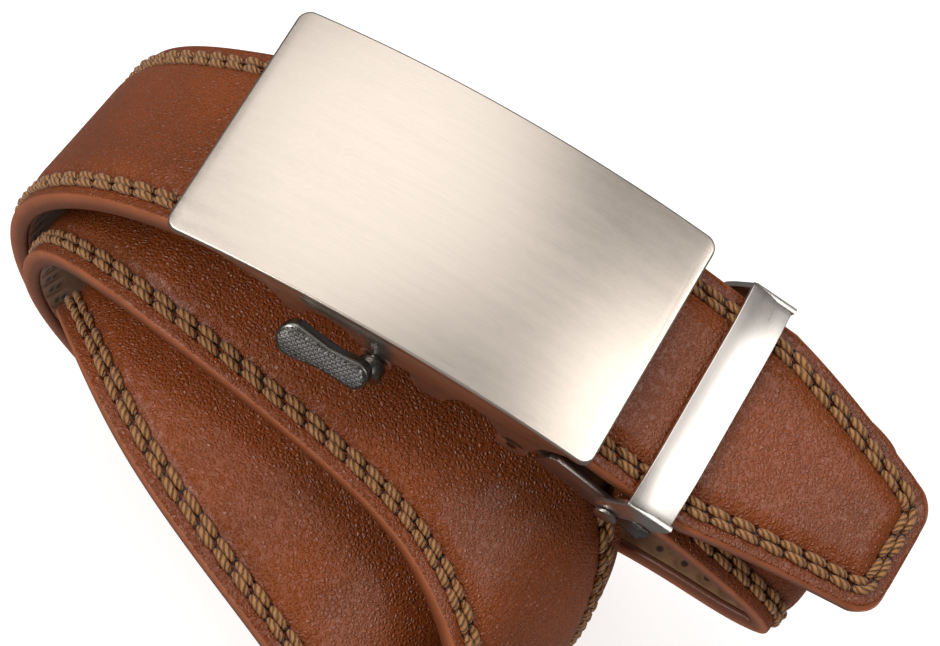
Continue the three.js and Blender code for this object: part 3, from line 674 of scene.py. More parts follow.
def make_thread():
    """Thick thread whose strands wind along each stitch, with shade painted into the grooves
    between the strands.
    """
    colour = (*settings().strap.thread_colour, 1)
    material, tree, shader = new_material(
        "twisted_thread", Sheen_Weight=0.25, Sheen_Roughness=0.4, Specular_IOR_Level=0.4
    )
    source = add_node(tree, "UVMap", {"uv_map": "twist"}).outputs["UV"]
    parts = add_node(tree, "SeparateXYZ", None, Vector=source)
    around = maths(tree, "MULTIPLY", parts.outputs["X"], STRANDS)
    turns = maths(tree, "MULTIPLY_ADD", parts.outputs["Y"], -TWISTS, around)
    coordinates = scaled_coordinates(tree)
    wander = noise_of(tree, coordinates, 700.0, 2.0, 0.5)
    turns = maths(tree, "MULTIPLY_ADD", wander, 0.9, turns)
    strand = maths(tree, "ABSOLUTE", maths(tree, "SUBTRACT", maths(tree, "FRACT", turns), 0.5))
    crown = fade(tree, maths(tree, "SUBTRACT", 0.5, strand), 0.0, 0.32)
    fibres = noise_of(tree, coordinates, FIBRE_SCALE, 3.0, 0.6)
    # Painted shade: the grooves between the strands are painted dark, the strands' crowns keep the
    # thread's colour
    body = mix_colour(tree, crown, dark_to(colour, 0.28), colour)
    body = mix_colour(tree, maths(tree, "MULTIPLY", fibres, 0.5), body, dark_to(colour, 0.45))
    tree.links.new(body, shader.inputs["Base Color"])
    tree.links.new(maths(tree, "MULTIPLY_ADD", fibres, 0.25, 0.42), shader.inputs["Roughness"])
    normal = bump_of(tree, crown, STRAND_DEPTH * MM)
    normal = bump_of(tree, fibres, FIBRE_DEPTH * MM, normal)
    tree.links.new(normal, shader.inputs["Normal"])
    return material


HAIRLINES = {"X": (30, 5200, 5200), "Y": (5200, 30, 5200)}
HAIRLINE_DEPTH = 0.012


def make_brushed(name, colour, roughness, along="X", contrast=0.12):
    """Brushed metal with hairlines along X or Y and faint wear."""
    material, tree, shader = new_material(name, Metallic=1.0)
    fine = HAIRLINES[along]
    coarse = tuple(scale * 0.12 for scale in fine)
    hairs = noise_of(tree, scaled_coordinates(tree, fine), 1.0, 3.0, 0.7)
    broad = noise_of(tree, scaled_coordinates(tree, coarse), 1.0, 2.0, 0.5)
    wear = noise_of(tree, scaled_coordinates(tree), 55.0, 3.0, 0.6)
    tone = maths(tree, "MULTIPLY", hairs, 0.6)
    tone = maths(tree, "ADD", tone, maths(tree, "MULTIPLY", broad, 0.4))
    body = mix_colour(tree, fade(tree, tone, 0.3, 0.7), dark_to(colour, 1 - contrast), (*colour, 1))
    worn = maths(tree, "MULTIPLY", fade(tree, wear, 0.45, 0.8), 0.25)
    body = mix_colour(tree, worn, body, dark_to(colour, 0.85))
    tree.links.new(body, shader.inputs["Base Color"])
    rough = maths(tree, "MULTIPLY_ADD", tone, 0.18, roughness - 0.09)
    tree.links.new(rough, shader.inputs["Roughness"])
    tree.links.new(bump_of(tree, tone, HAIRLINE_DEPTH * MM), shader.inputs["Normal"])
    return material


def make_gunmetal():
    """Dark cast metal, worn bright in places."""
    colour = settings().buckle.lever_colour
    material, tree, shader = new_material("gunmetal", Metallic=1.0)
    coordinates = scaled_coordinates(tree)
    cast = noise_of(tree, coordinates, 900.0, 4.0, 0.6)
    wear = noise_of(tree, coordinates, 320.0, 3.0, 0.6)
    worn = tuple(min(1, c * 2.4) for c in colour) + (1,)
    body = mix_colour(tree, fade(tree, wear, 0.55, 0.75), (*colour, 1), worn)
    tree.links.new(body, shader.inputs["Base Color"])
    tree.links.new(maths(tree, "MULTIPLY_ADD", cast, 0.2, 0.2), shader.inputs["Roughness"])
    tree.links.new(bump_of(tree, cast, CAST_DEPTH * MM), shader.inputs["Normal"])
    return material


def make_resin():
    """Dark moulded resin of the track."""
    material, tree, shader = new_material("track_resin", Specular_IOR_Level=0.5)
    coordinates = scaled_coordinates(tree)
    moulded = noise_of(tree, coordinates, 700.0, 3.0, 0.6)
    body = mix_colour(tree, moulded, *RESIN_COLOURS)
    tree.links.new(body, shader.inputs["Base Color"])
    tree.links.new(maths(tree, "MULTIPLY_ADD", moulded, 0.2, 0.35), shader.inputs["Roughness"])
    tree.links.new(bump_of(tree, moulded, CAST_DEPTH * MM), shader.inputs["Normal"])
    return material


# Strap

STITCH_SIDES = 8
STITCH_RINGS = 7
STITCH_HALF = 0.51
STITCH_SLANT = 0.14
STITCH_RISE = 0.85
STITCH_DIVE = 0.55
STITCH_JITTER = (0.06, 0.05, 0.03)
STITCH_SEED = 7
TWISTS = 5.0
STRANDS = 3.0
PAD_RISE = 0.9
SEAM_VALLEY = 0.28
EDGE_ROUND = 0.45
PUCKER = 0.2
LINING_RECESS = 0.6
VALLEY_WIDTH = 1.2
PAD_START = 0.9
PAD_CLIMB = 4
PAD_CURVE = 2.4
PUCKER_PLACE = 1.7
PUCKER_WIDTH = 1.1
HEM_PLACE = 1.9
HEM_WIDTH = 0.5
HEM_DIP = 0.05
WAVE_HEIGHT = 0.1

# The leather's section: insets on its outer face, (inset, depth) round its rim, insets on its back
TOP_INSETS = (
    *(0.1, 0.3, 0.9, 1.6, 2.3, 2.9, 3.5, 4.1, 4.7, 5.2, 5.7, 6.3, 7, 8, 9.5, 11.5, 14),
    HALF_STRAP,
)
RIM_POINTS = (
    *((0, 0.45), (-0.04, 1.0), (-0.05, 1.6), (-0.04, 2.2)),
    *((0, 2.65), (0.15, 2.95), (0.5, 3.1), (0.95, 3.1)),
)
BACK_INSETS = (1.0, 6, 12)

# The lining's section: insets of its shown face and of its hidden one
LINING_INSETS = (1.05, 1.2, 2, 3, 4, 5, 7, 11)
LINING_BACK = (1.05, 8, HALF_STRAP)
LINING_BEVEL = 0.12

# Runs of the first rings, round the tip's corners, and the last of the close ones
TIP_RINGS = (0, 0.1, 0.25, 0.45, 0.7, 1, 1.4, 1.9, 2.4, 2.9, 3.5)
TIP_RING_STEP = 0.6
TIP_RINGS_END = 14


def hump(value, middle, width):
    return np.exp(-(((value - middle) / width) ** 2))


def edge_fall(inset):
    """How far the rounded edge lies below the face."""
    near = np.clip(1 - inset / EDGE_ROUND, 0, 1)
    return EDGE_ROUND * (1 - np.sqrt(np.maximum(0, 1 - near**2)))


def face_height(stitches, inset):
    """Height of the strap's outer face over its flat border: edge, seam valley and pad."""
    inset = np.maximum(inset, 0)
    valley = -SEAM_VALLEY * hump(inset, SEAM_INSET, VALLEY_WIDTH)
    climb = np.clip((inset - SEAM_INSET - PAD_START) / PAD_CLIMB, 0, 1)
    pad = PAD_RISE * (1 - (1 - climb) ** PAD_CURVE)
    hole = 0.5 - 0.5 * np.cos(2 * np.pi * stitches)
    pucker = -PUCKER * hole**2 * hump(inset, SEAM_INSET + PUCKER_PLACE, PUCKER_WIDTH)
    hem = -HEM_DIP * hole * hump(inset, HEM_PLACE, HEM_WIDTH)
    return valley + pad + pucker + hem - edge_fall(inset)


def strap_rings(step):
    """Runs of the strap's rings: close together at the tip's round end, then even."""
    tip = list(TIP_RINGS)
    while tip[-1] < TIP_RINGS_END:
        tip.append(tip[-1] + min(TIP_RING_STEP, step))
    count = round((STRAP_LENGTH - tip[-1]) / step)
    rest = np.linspace(tip[-1], STRAP_LENGTH, count + 1)[1:]
    return np.concatenate([tip, rest])


def start_tube(rings, loop):
    """A sheet of quads, with the ring and the columns of the section's loop at each vertex."""
    bm = bmesh.new()
    bmesh.ops.create_grid(bm, x_segments=len(rings) - 1, y_segments=len(loop), size=0.5)
    spots = np.array([vert.co[:2] for vert in bm.verts])
    ring = np.rint((spots[:, 0] + 0.5) * (len(rings) - 1)).astype(int)
    spot = np.rint((spots[:, 1] + 0.5) * len(loop)).astype(int) % len(loop)
    return bm, ring, [np.array(column)[spot] for column in zip(*loop)]


def close_tube(bm, places):
    """Rolls the sheet into a tube at its places and fills the tube's ends."""
    for vert, place in zip(bm.verts, places):
        vert.co = place
    bmesh.ops.remove_doubles(bm, verts=bm.verts, dist=1e-7)
    rims = [edge for edge in bm.edges if edge.is_boundary]
    ends = bmesh.ops.holes_fill(bm, edges=rims, sides=0)["faces"]
    smooth_all(bm)
    for face in ends:
        face.smooth = False
    bmesh.ops.recalc_face_normals(bm, faces=bm.faces)


def build_strap_leather():
    pitch = stitch_pitch()
    rings = strap_rings(pitch / 4)
    recess = STRAP_THICKNESS - LINING_RECESS
    side = [("top", inset, 0) for inset in reversed(TOP_INSETS)]
    side += [("rim", inset, depth) for inset, depth in RIM_POINTS]
    side += [("back", inset, recess) for inset in BACK_INSETS]
    loop = [(*place, 1) for place in side] + [("back", HALF_STRAP, recess, 1)]
    loop += [(*place, -1) for place in reversed(side[1:])]
    bm, ring, (kinds, insets, depths, signs) = start_tube(rings, loop)
    run = rings[ring]
    half = half_width(run)
    top, rim, back = kinds == "top", kinds == "rim", kinds == "back"
    squeeze = np.where(rim, 1, half / HALF_STRAP)
    sides = signs * (half - insets * squeeze)
    length, inset = seam_places(run, sides)
    stitches = length / pitch
    wave = np.array(
        [noise.noise(Vector((r * 0.11, s * 0.13, 0))) for r, s in zip(run[top], sides[top])]
    )
    height = np.zeros(len(run))
    height[top] = face_height(stitches[top], inset[top])
    height[top] += WAVE_HEIGHT * wave * np.clip((inset[top] - 5) / 4, 0, 1)
    height[rim] = -np.clip(depths[rim], EDGE_ROUND, STRAP_THICKNESS - edge_fall(run[rim]))
    height[back] = -np.minimum(depths[back], STRAP_THICKNESS - EDGE_ROUND)
    height = np.minimum(height, PAD_RISE)
    shown_inset = np.where(top, np.maximum(inset, 0), np.where(rim, -depths, -STRAP_THICKNESS))
    write_map(bm, "seam", stitches, shown_inset / 10)
    close_tube(bm, lay_on_strap(np.stack([run, sides, height], 1)))
    finish_piece("strap_leather", bm, make_leather(), "belt", ("strap_face",))


def build_strap_lining():
    pitch = stitch_pitch()
    rings = strap_rings(pitch / 2)
    level = STRAP_THICKNESS - LINING_RECESS + 0.08
    base = STRAP_THICKNESS + 0.02
    side = [(inset, base) for inset in LINING_INSETS]
    side[0] = (LINING_INSETS[0], base - LINING_BEVEL)
    loop = [(HALF_STRAP, base, 1)]
    loop += [(*place, 1) for place in reversed(side)]
    loop += [(inset, level, 1) for inset in LINING_BACK]
    loop += [(inset, level, -1) for inset in LINING_BACK[-2::-1]]
    loop += [(*place, -1) for place in side]
    bm, ring, (insets, depths, signs) = start_tube(rings, loop)
    run = np.maximum(rings[ring], 1.0)
    run[ring == 0] = 0.95
    half = half_width(run)
    sides = signs * (half - insets * np.where(insets > 1.3, half / HALF_STRAP, 1))
    length, inset = seam_places(run, sides)
    write_map(bm, "seam", length / pitch, inset / 10)
    close_tube(bm, lay_on_strap(np.stack([run, sides, -depths], 1)))
    finish_piece("strap_inner", bm, make_lining(), "belt", ("strap_lining",))


def build_stitches():
    """Two rows of plump stitches whose ends dive into the seam's needle holes."""
    pitch = stitch_pitch()
    radius = settings().strap.thread_diameter / MM / 2
    numbers = np.arange(
        math.ceil(SEAM_LENGTH[0] / pitch + 1), math.floor(SEAM_LENGTH[-1] / pitch - 1)
    )
    starts = np.array([(number, row) for row in (-1, 1) for number in numbers], float)
    count = len(starts)
    bm = bmesh.new()
    lines = count * STITCH_RINGS - 1
    bmesh.ops.create_grid(bm, x_segments=STITCH_SIDES, y_segments=lines, size=0.5)
    spots = np.array([vert.co[:2] for vert in bm.verts])
    around = np.rint((spots[:, 0] + 0.5) * STITCH_SIDES) / STITCH_SIDES
    line = np.rint((spots[:, 1] + 0.5) * lines).astype(int)
    stitch, ring = line // STITCH_RINGS, line % STITCH_RINGS
    bm.verts.index_update()
    between = [
        face for face in bm.faces if len({stitch[vert.index] for vert in face.verts}) > 1
    ]
    bmesh.ops.delete(bm, geom=between, context="FACES")
    share = ring / (STITCH_RINGS - 1)
    write_map(bm, "twist", around, share)
    row = starts[stitch, 1]
    along = -np.cos(np.pi * share)
    plump = radius * np.sqrt(np.maximum(0, 1 - np.abs(along) ** 3))
    rng = np.random.default_rng(STITCH_SEED)
    jitter = rng.normal(0, 1, (count, 3))[stitch] * STITCH_JITTER
    number = starts[stitch, 0] + np.where(row < 0, ROW_STAGGER, 0)
    length = (number + along * STITCH_HALF) * pitch + jitter[:, 0]
    beside = plump * np.cos(2 * np.pi * around)
    inward = row * ROW_OFFSET + beside - STITCH_SLANT * along + jitter[:, 1]
    flat = along_seam(length, inward)
    arch = radius * STITCH_RISE - STITCH_DIVE * np.abs(along) ** 3
    height = arch - SEAM_VALLEY + plump * np.sin(2 * np.pi * around) + jitter[:, 2]
    places = lay_on_strap(np.stack([flat[:, 0], flat[:, 1], height], 1))
    for vert, place in zip(bm.verts, places):
        vert.co = place
    bmesh.ops.remove_doubles(bm, verts=bm.verts, dist=1e-7)
    smooth_all(bm)
    bmesh.ops.recalc_face_normals(bm, faces=bm.faces)
    finish_piece("seam_stitches", bm, make_thread(), "belt")


def build_ratchet_track():
    bm = copy_of_node("ratchet_track", 0.12)
    finish_piece("track", bm, make_resin(), "belt", ("ratchet_track",))


# Buckle frame

WallPoint = namedtuple("WallPoint", "x drop")

# The side wall's lower edge: x as a share of half the plate, drop of the walls' drop
WALL_EDGE = [
    WallPoint(-0.8, 0.02),
    WallPoint(-0.59, 0.15),
    WallPoint(-0.49, 0.29),
    WallPoint(-0.42, 0.54),
    WallPoint(-0.35, 0.56),
    WallPoint(-0.31, 0.25),
    WallPoint(-0.24, 0.14),
    WallPoint(-0.15, 0.2),
    WallPoint(-0.06, 0.45),
    WallPoint(0.09, 0.42),
    WallPoint(0.17, 0.44),
    WallPoint(0.19, 0.7),
    WallPoint(0.215, 0.81),
    WallPoint(0.335, 0.79),
    WallPoint(0.355, 0.6),
    WallPoint(0.42, 0.33),
    WallPoint(0.5, 0.37),
    WallPoint(0.56, 0.54),
    WallPoint(0.62, 0.85),
    WallPoint(0.74, 0.85),
    WallPoint(0.8, 0.42),
    WallPoint(0.92, 0.13),
]
WALL_STEPS = 24
PLATE_STRIPS = 48

# Centres of the lever's shaft and the hinge pin, as (x, z) in plate millimetres
LEVER_AT = (0.49, -6.6)
HINGE_AT = (23.485, -9.6)


def span_of(edge):
    return edge.verts[1].co - edge.verts[0].co


def plate_height(x, below=0.0):
    """Height of the arched face plate's top, or of a layer below it."""
    radius = PLATE_RADIUS - below
    return math.sqrt(radius**2 - x**2) - (PLATE_RADIUS - PLATE_CROWN)


def rounded_line(points, cuts=4):
    """A smooth line through points, as a Catmull-Rom spline."""
    points = [Vector(point) for point in points]
    line = []
    for index in range(len(points) - 1):
        a = points[max(index - 1, 0)]
        b, c = points[index], points[index + 1]
        d = points[min(index + 2, len(points) - 1)]
        bend, twist = 2 * a - 5 * b + 4 * c - d, 3 * b - a - 3 * c + d
        for cut in range(cuts):
            t = cut / cuts
            line.append(0.5 * (2 * b + (c - a) * t + bend * t**2 + twist * t**3))
    line.append(points[-1])
    return [tuple(point) for point in line]


def build_face_plate(bm):
    """The face plate: a blank with round corners and edges, arched along its length."""
    edge_round = settings().buckle.edge_rounding / MM
    made = bmesh.ops.create_cube(bm, size=1)["verts"]
    bmesh.ops.scale(bm, vec=(PLATE_LENGTH, 2 * HALF_PLATE_WIDTH, PLATE_THICKNESS), verts=made)
    uprights = [edge for edge in bm.edges if abs(span_of(edge).z) > 0.1]
    round_edges(bm, uprights, PLATE_CORNER, 8)
    round_edges(bm, edges_between(bm, 60), edge_round, 4)
    for cut in range(1, PLATE_STRIPS):
        x = -HALF_PLATE_LENGTH + PLATE_LENGTH * cut / PLATE_STRIPS
        cut_across(bm, (x, 0, 0), (1, 0, 0))
    for vert in bm.verts:
        x = max(-HALF_PLATE_LENGTH, min(HALF_PLATE_LENGTH, vert.co.x))
        vert.co.z += plate_height(x) - PLATE_THICKNESS / 2
    smooth_all(bm)
    sharpen(bm, 40)


def build_side_wall(bm, low, high):
    """A side wall from its shaped lower edge up into the face plate."""
    lower = rounded_line(
        [(point.x * HALF_PLATE_LENGTH, -point.drop * WALL_DROP) for point in WALL_EDGE], 4
    )
    start, end = lower[0][0], lower[-1][0]
    upper = []
    for index in range(1, WALL_STEPS):
        x = end + (start - end) * index / WALL_STEPS
        upper.append((x, plate_height(x, PLATE_THICKNESS * 0.6)))
    faces = solid_from_outline(bm, lower + upper, low, high)
    edges = {edge for face in faces for edge in face.edges}
    round_edges(bm, [edge for edge in edges if abs(span_of(edge).y) < 1e-6], 0.22, 2)


def build_buckle_frame():
    bm = bmesh.new()
    build_face_plate(bm)
    for low, high in ((-WALL_OUTER, -WALL_INNER), (WALL_INNER, WALL_OUTER)):
        part = bmesh.new()
        build_side_wall(part, low, high)
        for x, z in (LEVER_AT, HINGE_AT):
            lug = bar_along_y(part, LUG_RADIUS, x, z, low, high)
            round_edges(part, edges_between(part, 60, edges_of(lug)), 0.25, 2)
        smooth_all(part)
        sharpen(part, 40)
        join(bm, part)
    from_plate(bm)
    metal = make_brushed("brushed_nickel", settings().buckle.plate_colour, 0.33)
    finish_piece(
        "face_plate_and_walls", bm, metal, "belt", ("buckle_frame",)
    )


# Release lever

TAB_LENGTH = 15
TAB_HEIGHT = 5.4
TAB_THICKNESS = 2.8
TAB_TILT = 45
BOSS_RADIUS = 2.2
BOSS_LENGTH = 2.8
SHAFT_RADIUS = 1.2
PAWL_REACH = 8
PAWL_WIDTH = 8
PAWL_THICKNESS = 2
PAWL_TOP = -4.4
SMALL_LOBE = 0.82
WAIST = 0.72
LOBE_STEPS = 12
KNURL_STEPS = 6
KNURL_MARGIN = 0.55
KNURL_HEIGHT = 0.42
KNURL_DOME = 0.25
KNURL_SINK = 0.08


def lobe(middle, radius, start):
    """Half a circle round (middle, 0), from an angle in degrees."""
    angles = [math.radians(start + 180 * step / LOBE_STEPS) for step in range(LOBE_STEPS + 1)]
    return [(middle + radius * math.cos(turn), radius * math.sin(turn)) for turn in angles]


def tab_outline(shrink=0.0):
    """Peanut outline of the lever's tab, a large lobe at the left and a small one at the right."""
    half = TAB_LENGTH / 2
    big = TAB_HEIGHT / 2
    small, waist = big * SMALL_LOBE, big * WAIST
    bend = [(half * 0.05, -waist), (half * 0.3, -waist * 1.02)]
    points = lobe(-half + big, big, 90) + bend + lobe(half - small, small, -90)
    points += [(x, -z) for x, z in reversed(bend)]
    if not shrink:
        return points
    moved = []
    for index, point in enumerate(points):
        before, after = Vector(points[index - 1]), Vector(points[(index + 1) % len(points)])
        along = (after - before).normalized()
        inward = Vector((-along.y, along.x))
        moved.append(tuple(Vector(point) + inward * shrink))
    return moved


def inside_depth(place, outline):
    """Distance from a place to an outline, positive inside it."""
    nearest, inside = 1e9, False
    count = len(outline)
    for index in range(count):
        (ax, ay), (bx, by) = outline[index], outline[(index + 1) % count]
        span = (bx - ax) ** 2 + (by - ay) ** 2
        share = max(0, min(1, ((place[0] - ax) * (bx - ax) + (place[1] - ay) * (by - ay)) / span))
        gap = math.hypot(place[0] - ax - share * (bx - ax), place[1] - ay - share * (by - ay))
        nearest = min(nearest, gap)
        if (ay > place[1]) != (by > place[1]):
            if place[0] < (bx - ax) * (place[1] - ay) / (by - ay) + ax:
                inside = not inside
    return nearest if inside else -nearest


def build_release_lever():
    pitch = settings().buckle.knurl_pitch / MM
    bm = bmesh.new()
    face = bm.faces.new([bm.verts.new((x, z, 0)) for x, z in tab_outline()])
    pushed = bmesh.ops.extrude_face_region(bm, geom=[face])["geom"]
    moved = [item for item in pushed if isinstance(item, bmesh.types.BMVert)]
    bmesh.ops.translate(bm, verts=moved, vec=(0, 0, TAB_THICKNESS))
    bmesh.ops.recalc_face_normals(bm, faces=bm.faces)
    round_edges(bm, edges_between(bm, 60), 0.6, 4)
    columns = round(TAB_LENGTH / pitch * KNURL_STEPS)
    lines = round(TAB_HEIGHT / pitch * KNURL_STEPS)
    grid = bmesh.ops.create_grid(bm, x_segments=columns, y_segments=lines, size=0.5)["verts"]
    inner = tab_outline(KNURL_MARGIN)
    half = KNURL_STEPS / 2
    loose = []
    for vert in grid:
        x, y = vert.co.x * TAB_LENGTH, vert.co.y * TAB_HEIGHT
        column, line = round((vert.co.x + 0.5) * columns), round((vert.co.y + 0.5) * lines)
        depth = inside_depth((x, y), inner)
        first = abs((column + line) % KNURL_STEPS - half) / half
        second = abs((column - line) % KNURL_STEPS - half) / half
        peak = min(first, second) * KNURL_HEIGHT
        dome = KNURL_DOME * (1 - (y / (TAB_HEIGHT / 2)) ** 2)
        level = TAB_THICKNESS - KNURL_SINK + dome + peak
        vert.co = (x, y, level if depth > 0 else level - min(1.2, -depth * 2.5))
        if depth < -0.45:
            loose.append(vert)
    bmesh.ops.delete(bm, geom=loose, context="VERTS")
    turn = Matrix.Rotation(math.radians(TAB_TILT), 4, "X")
    spread = (TAB_HEIGHT / 2 + TAB_THICKNESS / 2) * math.cos(math.radians(TAB_TILT))
    place = Matrix.Translation(
        (
            LEVER_AT[0] - TAB_LENGTH / 2 + BOSS_RADIUS / 2,
            -(HALF_PLATE_WIDTH + 0.6 + spread),
            LEVER_AT[1] + BOSS_RADIUS,
        )
    )
    lift = Matrix.Translation((0, 0, -TAB_THICKNESS / 2))
    bmesh.ops.transform(bm, matrix=place @ turn @ lift, verts=bm.verts)
    boss_start = WALL_OUTER + 0.3
    boss = bar_along_y(bm, BOSS_RADIUS, *LEVER_AT, -boss_start - BOSS_LENGTH, -boss_start)
    round_edges(bm, edges_between(bm, 60, edges_of(boss)), 0.5, 3)
    bar_along_y(bm, SHAFT_RADIUS, *LEVER_AT, -boss_start - BOSS_LENGTH / 2, WALL_OUTER)
    low = LEVER_AT[1] - PAWL_THICKNESS / 2
    nose_x = LEVER_AT[0] + PAWL_REACH
    pawl = [
        (LEVER_AT[0], low),
        (nose_x, low),
        (nose_x, PAWL_TOP),
        (nose_x - PAWL_THICKNESS / 2, PAWL_TOP),
        (nose_x - PAWL_THICKNESS, low + PAWL_THICKNESS),
        (LEVER_AT[0], low + PAWL_THICKNESS),
    ]
    solid_from_outline(bm, pawl, -PAWL_WIDTH / 2, PAWL_WIDTH / 2)
    smooth_all(bm)
    sharpen(bm, 35)
    from_plate(bm)
    finish_piece(
        "lever_with_knurled_tab", bm, make_gunmetal(), "lever", ("release_lever",)
    )


# Clip, jaw, pins and keeper

KEEPER_AT = (42.49, -4.4)
KEEPER_SLOPE = 16
KEEPER_WIDTH = 7.2
KEEPER_THICKNESS = 1
KEEPER_DROP = 9.2
KEEPER_INNER = 18.9
KEEPER_OUTER = 19.9
KEEPER_FLAT = 9
KEEPER_ARCH = 1.0
ArmPoint = namedtuple("ArmPoint", "out down")

# The keeper's arm: out as a share of the bar's width, down of the keeper's drop
KEEPER_ARM = [
    ArmPoint(0.02, 0.02),
    ArmPoint(0.98, 0.23),
    ArmPoint(0.9, 0.44),
    ArmPoint(0.66, 0.72),
    ArmPoint(0.4, 0.66),
    ArmPoint(0.16, 0.78),
    ArmPoint(-0.25, 1.02),
    ArmPoint(-0.62, 0.84),
    ArmPoint(-0.3, 0.4),
    ArmPoint(-0.08, 0.14),
]


def build_keeper():
    bm = bmesh.new()
    bar = bmesh.ops.create_cube(bm, size=1)["verts"]
    bmesh.ops.scale(bm, vec=(KEEPER_WIDTH, 2 * KEEPER_OUTER, KEEPER_THICKNESS), verts=bar)
    ends = [
        edge
        for edge in bm.edges
        if abs(span_of(edge).x) > 1 and all(vert.co.z > 0 for vert in edge.verts)
    ]
    round_edges(bm, ends, 0.75, 5)
    round_edges(bm, edges_between(bm, 60), 0.22, 2)
    for cut in range(-18, 19, 2):
        cut_across(bm, (0, cut, 0), (0, 1, 0))
    for vert in bm.verts:
        past = max(0, abs(vert.co.y) - KEEPER_FLAT) / (KEEPER_OUTER - KEEPER_FLAT)
        vert.co.z -= KEEPER_ARCH * past**2
    slope = math.radians(KEEPER_SLOPE)
    middle = (
        KEEPER_AT[0] + KEEPER_WIDTH / 2 * math.cos(slope) - KEEPER_THICKNESS / 2 * math.sin(slope),
        0,
        KEEPER_AT[1] - KEEPER_WIDTH / 2 * math.sin(slope) - KEEPER_THICKNESS / 2 * math.cos(slope),
    )
    place = Matrix.Translation(middle) @ Matrix.Rotation(slope, 4, "Y")
    bmesh.ops.transform(bm, matrix=place, verts=bm.verts)
    arm = rounded_line(
        [
            (KEEPER_AT[0] + point.out * KEEPER_WIDTH, KEEPER_AT[1] - point.down * KEEPER_DROP)
            for point in KEEPER_ARM[1:]
        ],
        4,
    )
    arm = [(KEEPER_AT[0] + 0.02 * KEEPER_WIDTH, KEEPER_AT[1] - 0.03 * KEEPER_DROP)] + arm
    lowered = [KEEPER_ARCH * max(0, 1 + (z - KEEPER_AT[1]) / KEEPER_DROP * 2) for x, z in arm]
    arm = [(x, z - drop) for (x, z), drop in zip(arm, lowered)]
    for low, high in ((-KEEPER_OUTER, -KEEPER_INNER), (KEEPER_INNER, KEEPER_OUTER)):
        part = bmesh.new()
        solid_from_outline(part, arm, low, high)
        round_edges(part, [edge for edge in part.edges if abs(span_of(edge).y) < 1e-6], 0.18, 2)
        join(bm, part)
    smooth_all(bm)
    sharpen(bm, 35)
    from_plate(bm)
    metal = make_brushed("brushed_nickel_keeper", settings().buckle.keeper_colour, 0.3, "Y")
    finish_piece("keeper_loop", bm, metal, "belt", ("keeper",))


def build_small_parts():
    """The clip, its jaw, the hinge pin and the rivets, with their edges rounded."""
    dark = make_brushed("dark_nickel", settings().buckle.clip_colour, 0.34, contrast=0.2)
    gunmetal = make_gunmetal()
    rows = (
        ("clip", "clip_base", dark, "dark_nickel", 0.2),
        ("clip_jaw", "clamp_jaw", gunmetal, "gunmetal", 0.1),
        ("clip_pin", "hinge_pin", dark, "dark_nickel", 0.15),
        ("rivet_near", "keeper_rivet_near", dark, "dark_nickel", 0.15),
        ("rivet_far", "keeper_rivet_far", dark, "dark_nickel", 0.15),
    )
    for name, node, material, slot, rounding in rows:
        finish_piece(name, copy_of_node(node, rounding), material, "belt", (node,))


# Stage: floor, lights and camera

# The camera, from the face plate's middle and in millimetres, and its three directions
CAMERA_PLACE = (45.9, -173.2, 455.9)
CAMERA_RIGHT = (0.8653, 0.4897, 0.1072)
CAMERA_UP = (-0.4958, 0.8044, 0.3273)
CAMERA_BACK = (0.074, -0.3363, 0.9388)
FOCAL_PIXELS = 3403
IMAGE_WIDTH = 940
SENSOR_WIDTH = 36.0


def build_camera():
    data = bpy.data.cameras.new("camera")
    data.sensor_width = SENSOR_WIDTH
    data.lens = FOCAL_PIXELS * SENSOR_WIDTH / IMAGE_WIDTH
    data.clip_start, data.clip_end = 0.01, 10
    camera = bpy.data.objects.new("camera", data)
    bpy.context.scene.collection.objects.link(camera)
    turn = Matrix((CAMERA_RIGHT, CAMERA_UP, CAMERA_BACK)).transposed()
    place = PLATE_ORIGIN + Vector(CAMERA_PLACE) * MM
    camera.matrix_world = Matrix.Translation(place) @ turn.to_4x4()
    bpy.context.scene.camera = camera


Softbox = namedtuple("Softbox", "name direction distance width height radiance")
SOFTBOXES = (
    Softbox("key", (-0.36, 0.48, 1), 1.3, 1.05, 1.1, 1.45),
    Softbox("right", (0.93, 0.38, 1.0), 1.2, 0.5, 0.95, 3.0),
    Softbox("front", (-0.66, -0.42, 0.75), 1.1, 1.1, 0.26, 6.5),
    Softbox("low", (-0.15, -0.95, 0.35), 1.1, 0.55, 0.25, 1.6),
)

# The floor's glow fades between two distances from the belt's middle
GLOW_NEAR = 0.12
GLOW_FAR = 0.3


def add_softbox(box, strength):
    """A soft area light aimed at the belt, whose face shines with the same radiance all over."""
    data = bpy.data.lights.new(box.name, "AREA")
    data.shape = "RECTANGLE"
    data.size, data.size_y = box.width, box.height
    data.energy = box.radiance * strength * math.pi * box.width * box.height
    light = bpy.data.objects.new(box.name, data)
    bpy.context.scene.collection.objects.link(light)
    light.location = PLATE_ORIGIN + Vector(box.direction).normalized() * box.distance
    light.rotation_mode = "QUATERNION"
    light.rotation_quaternion = (PLATE_ORIGIN - light.location).to_track_quat("-Z", "Y")


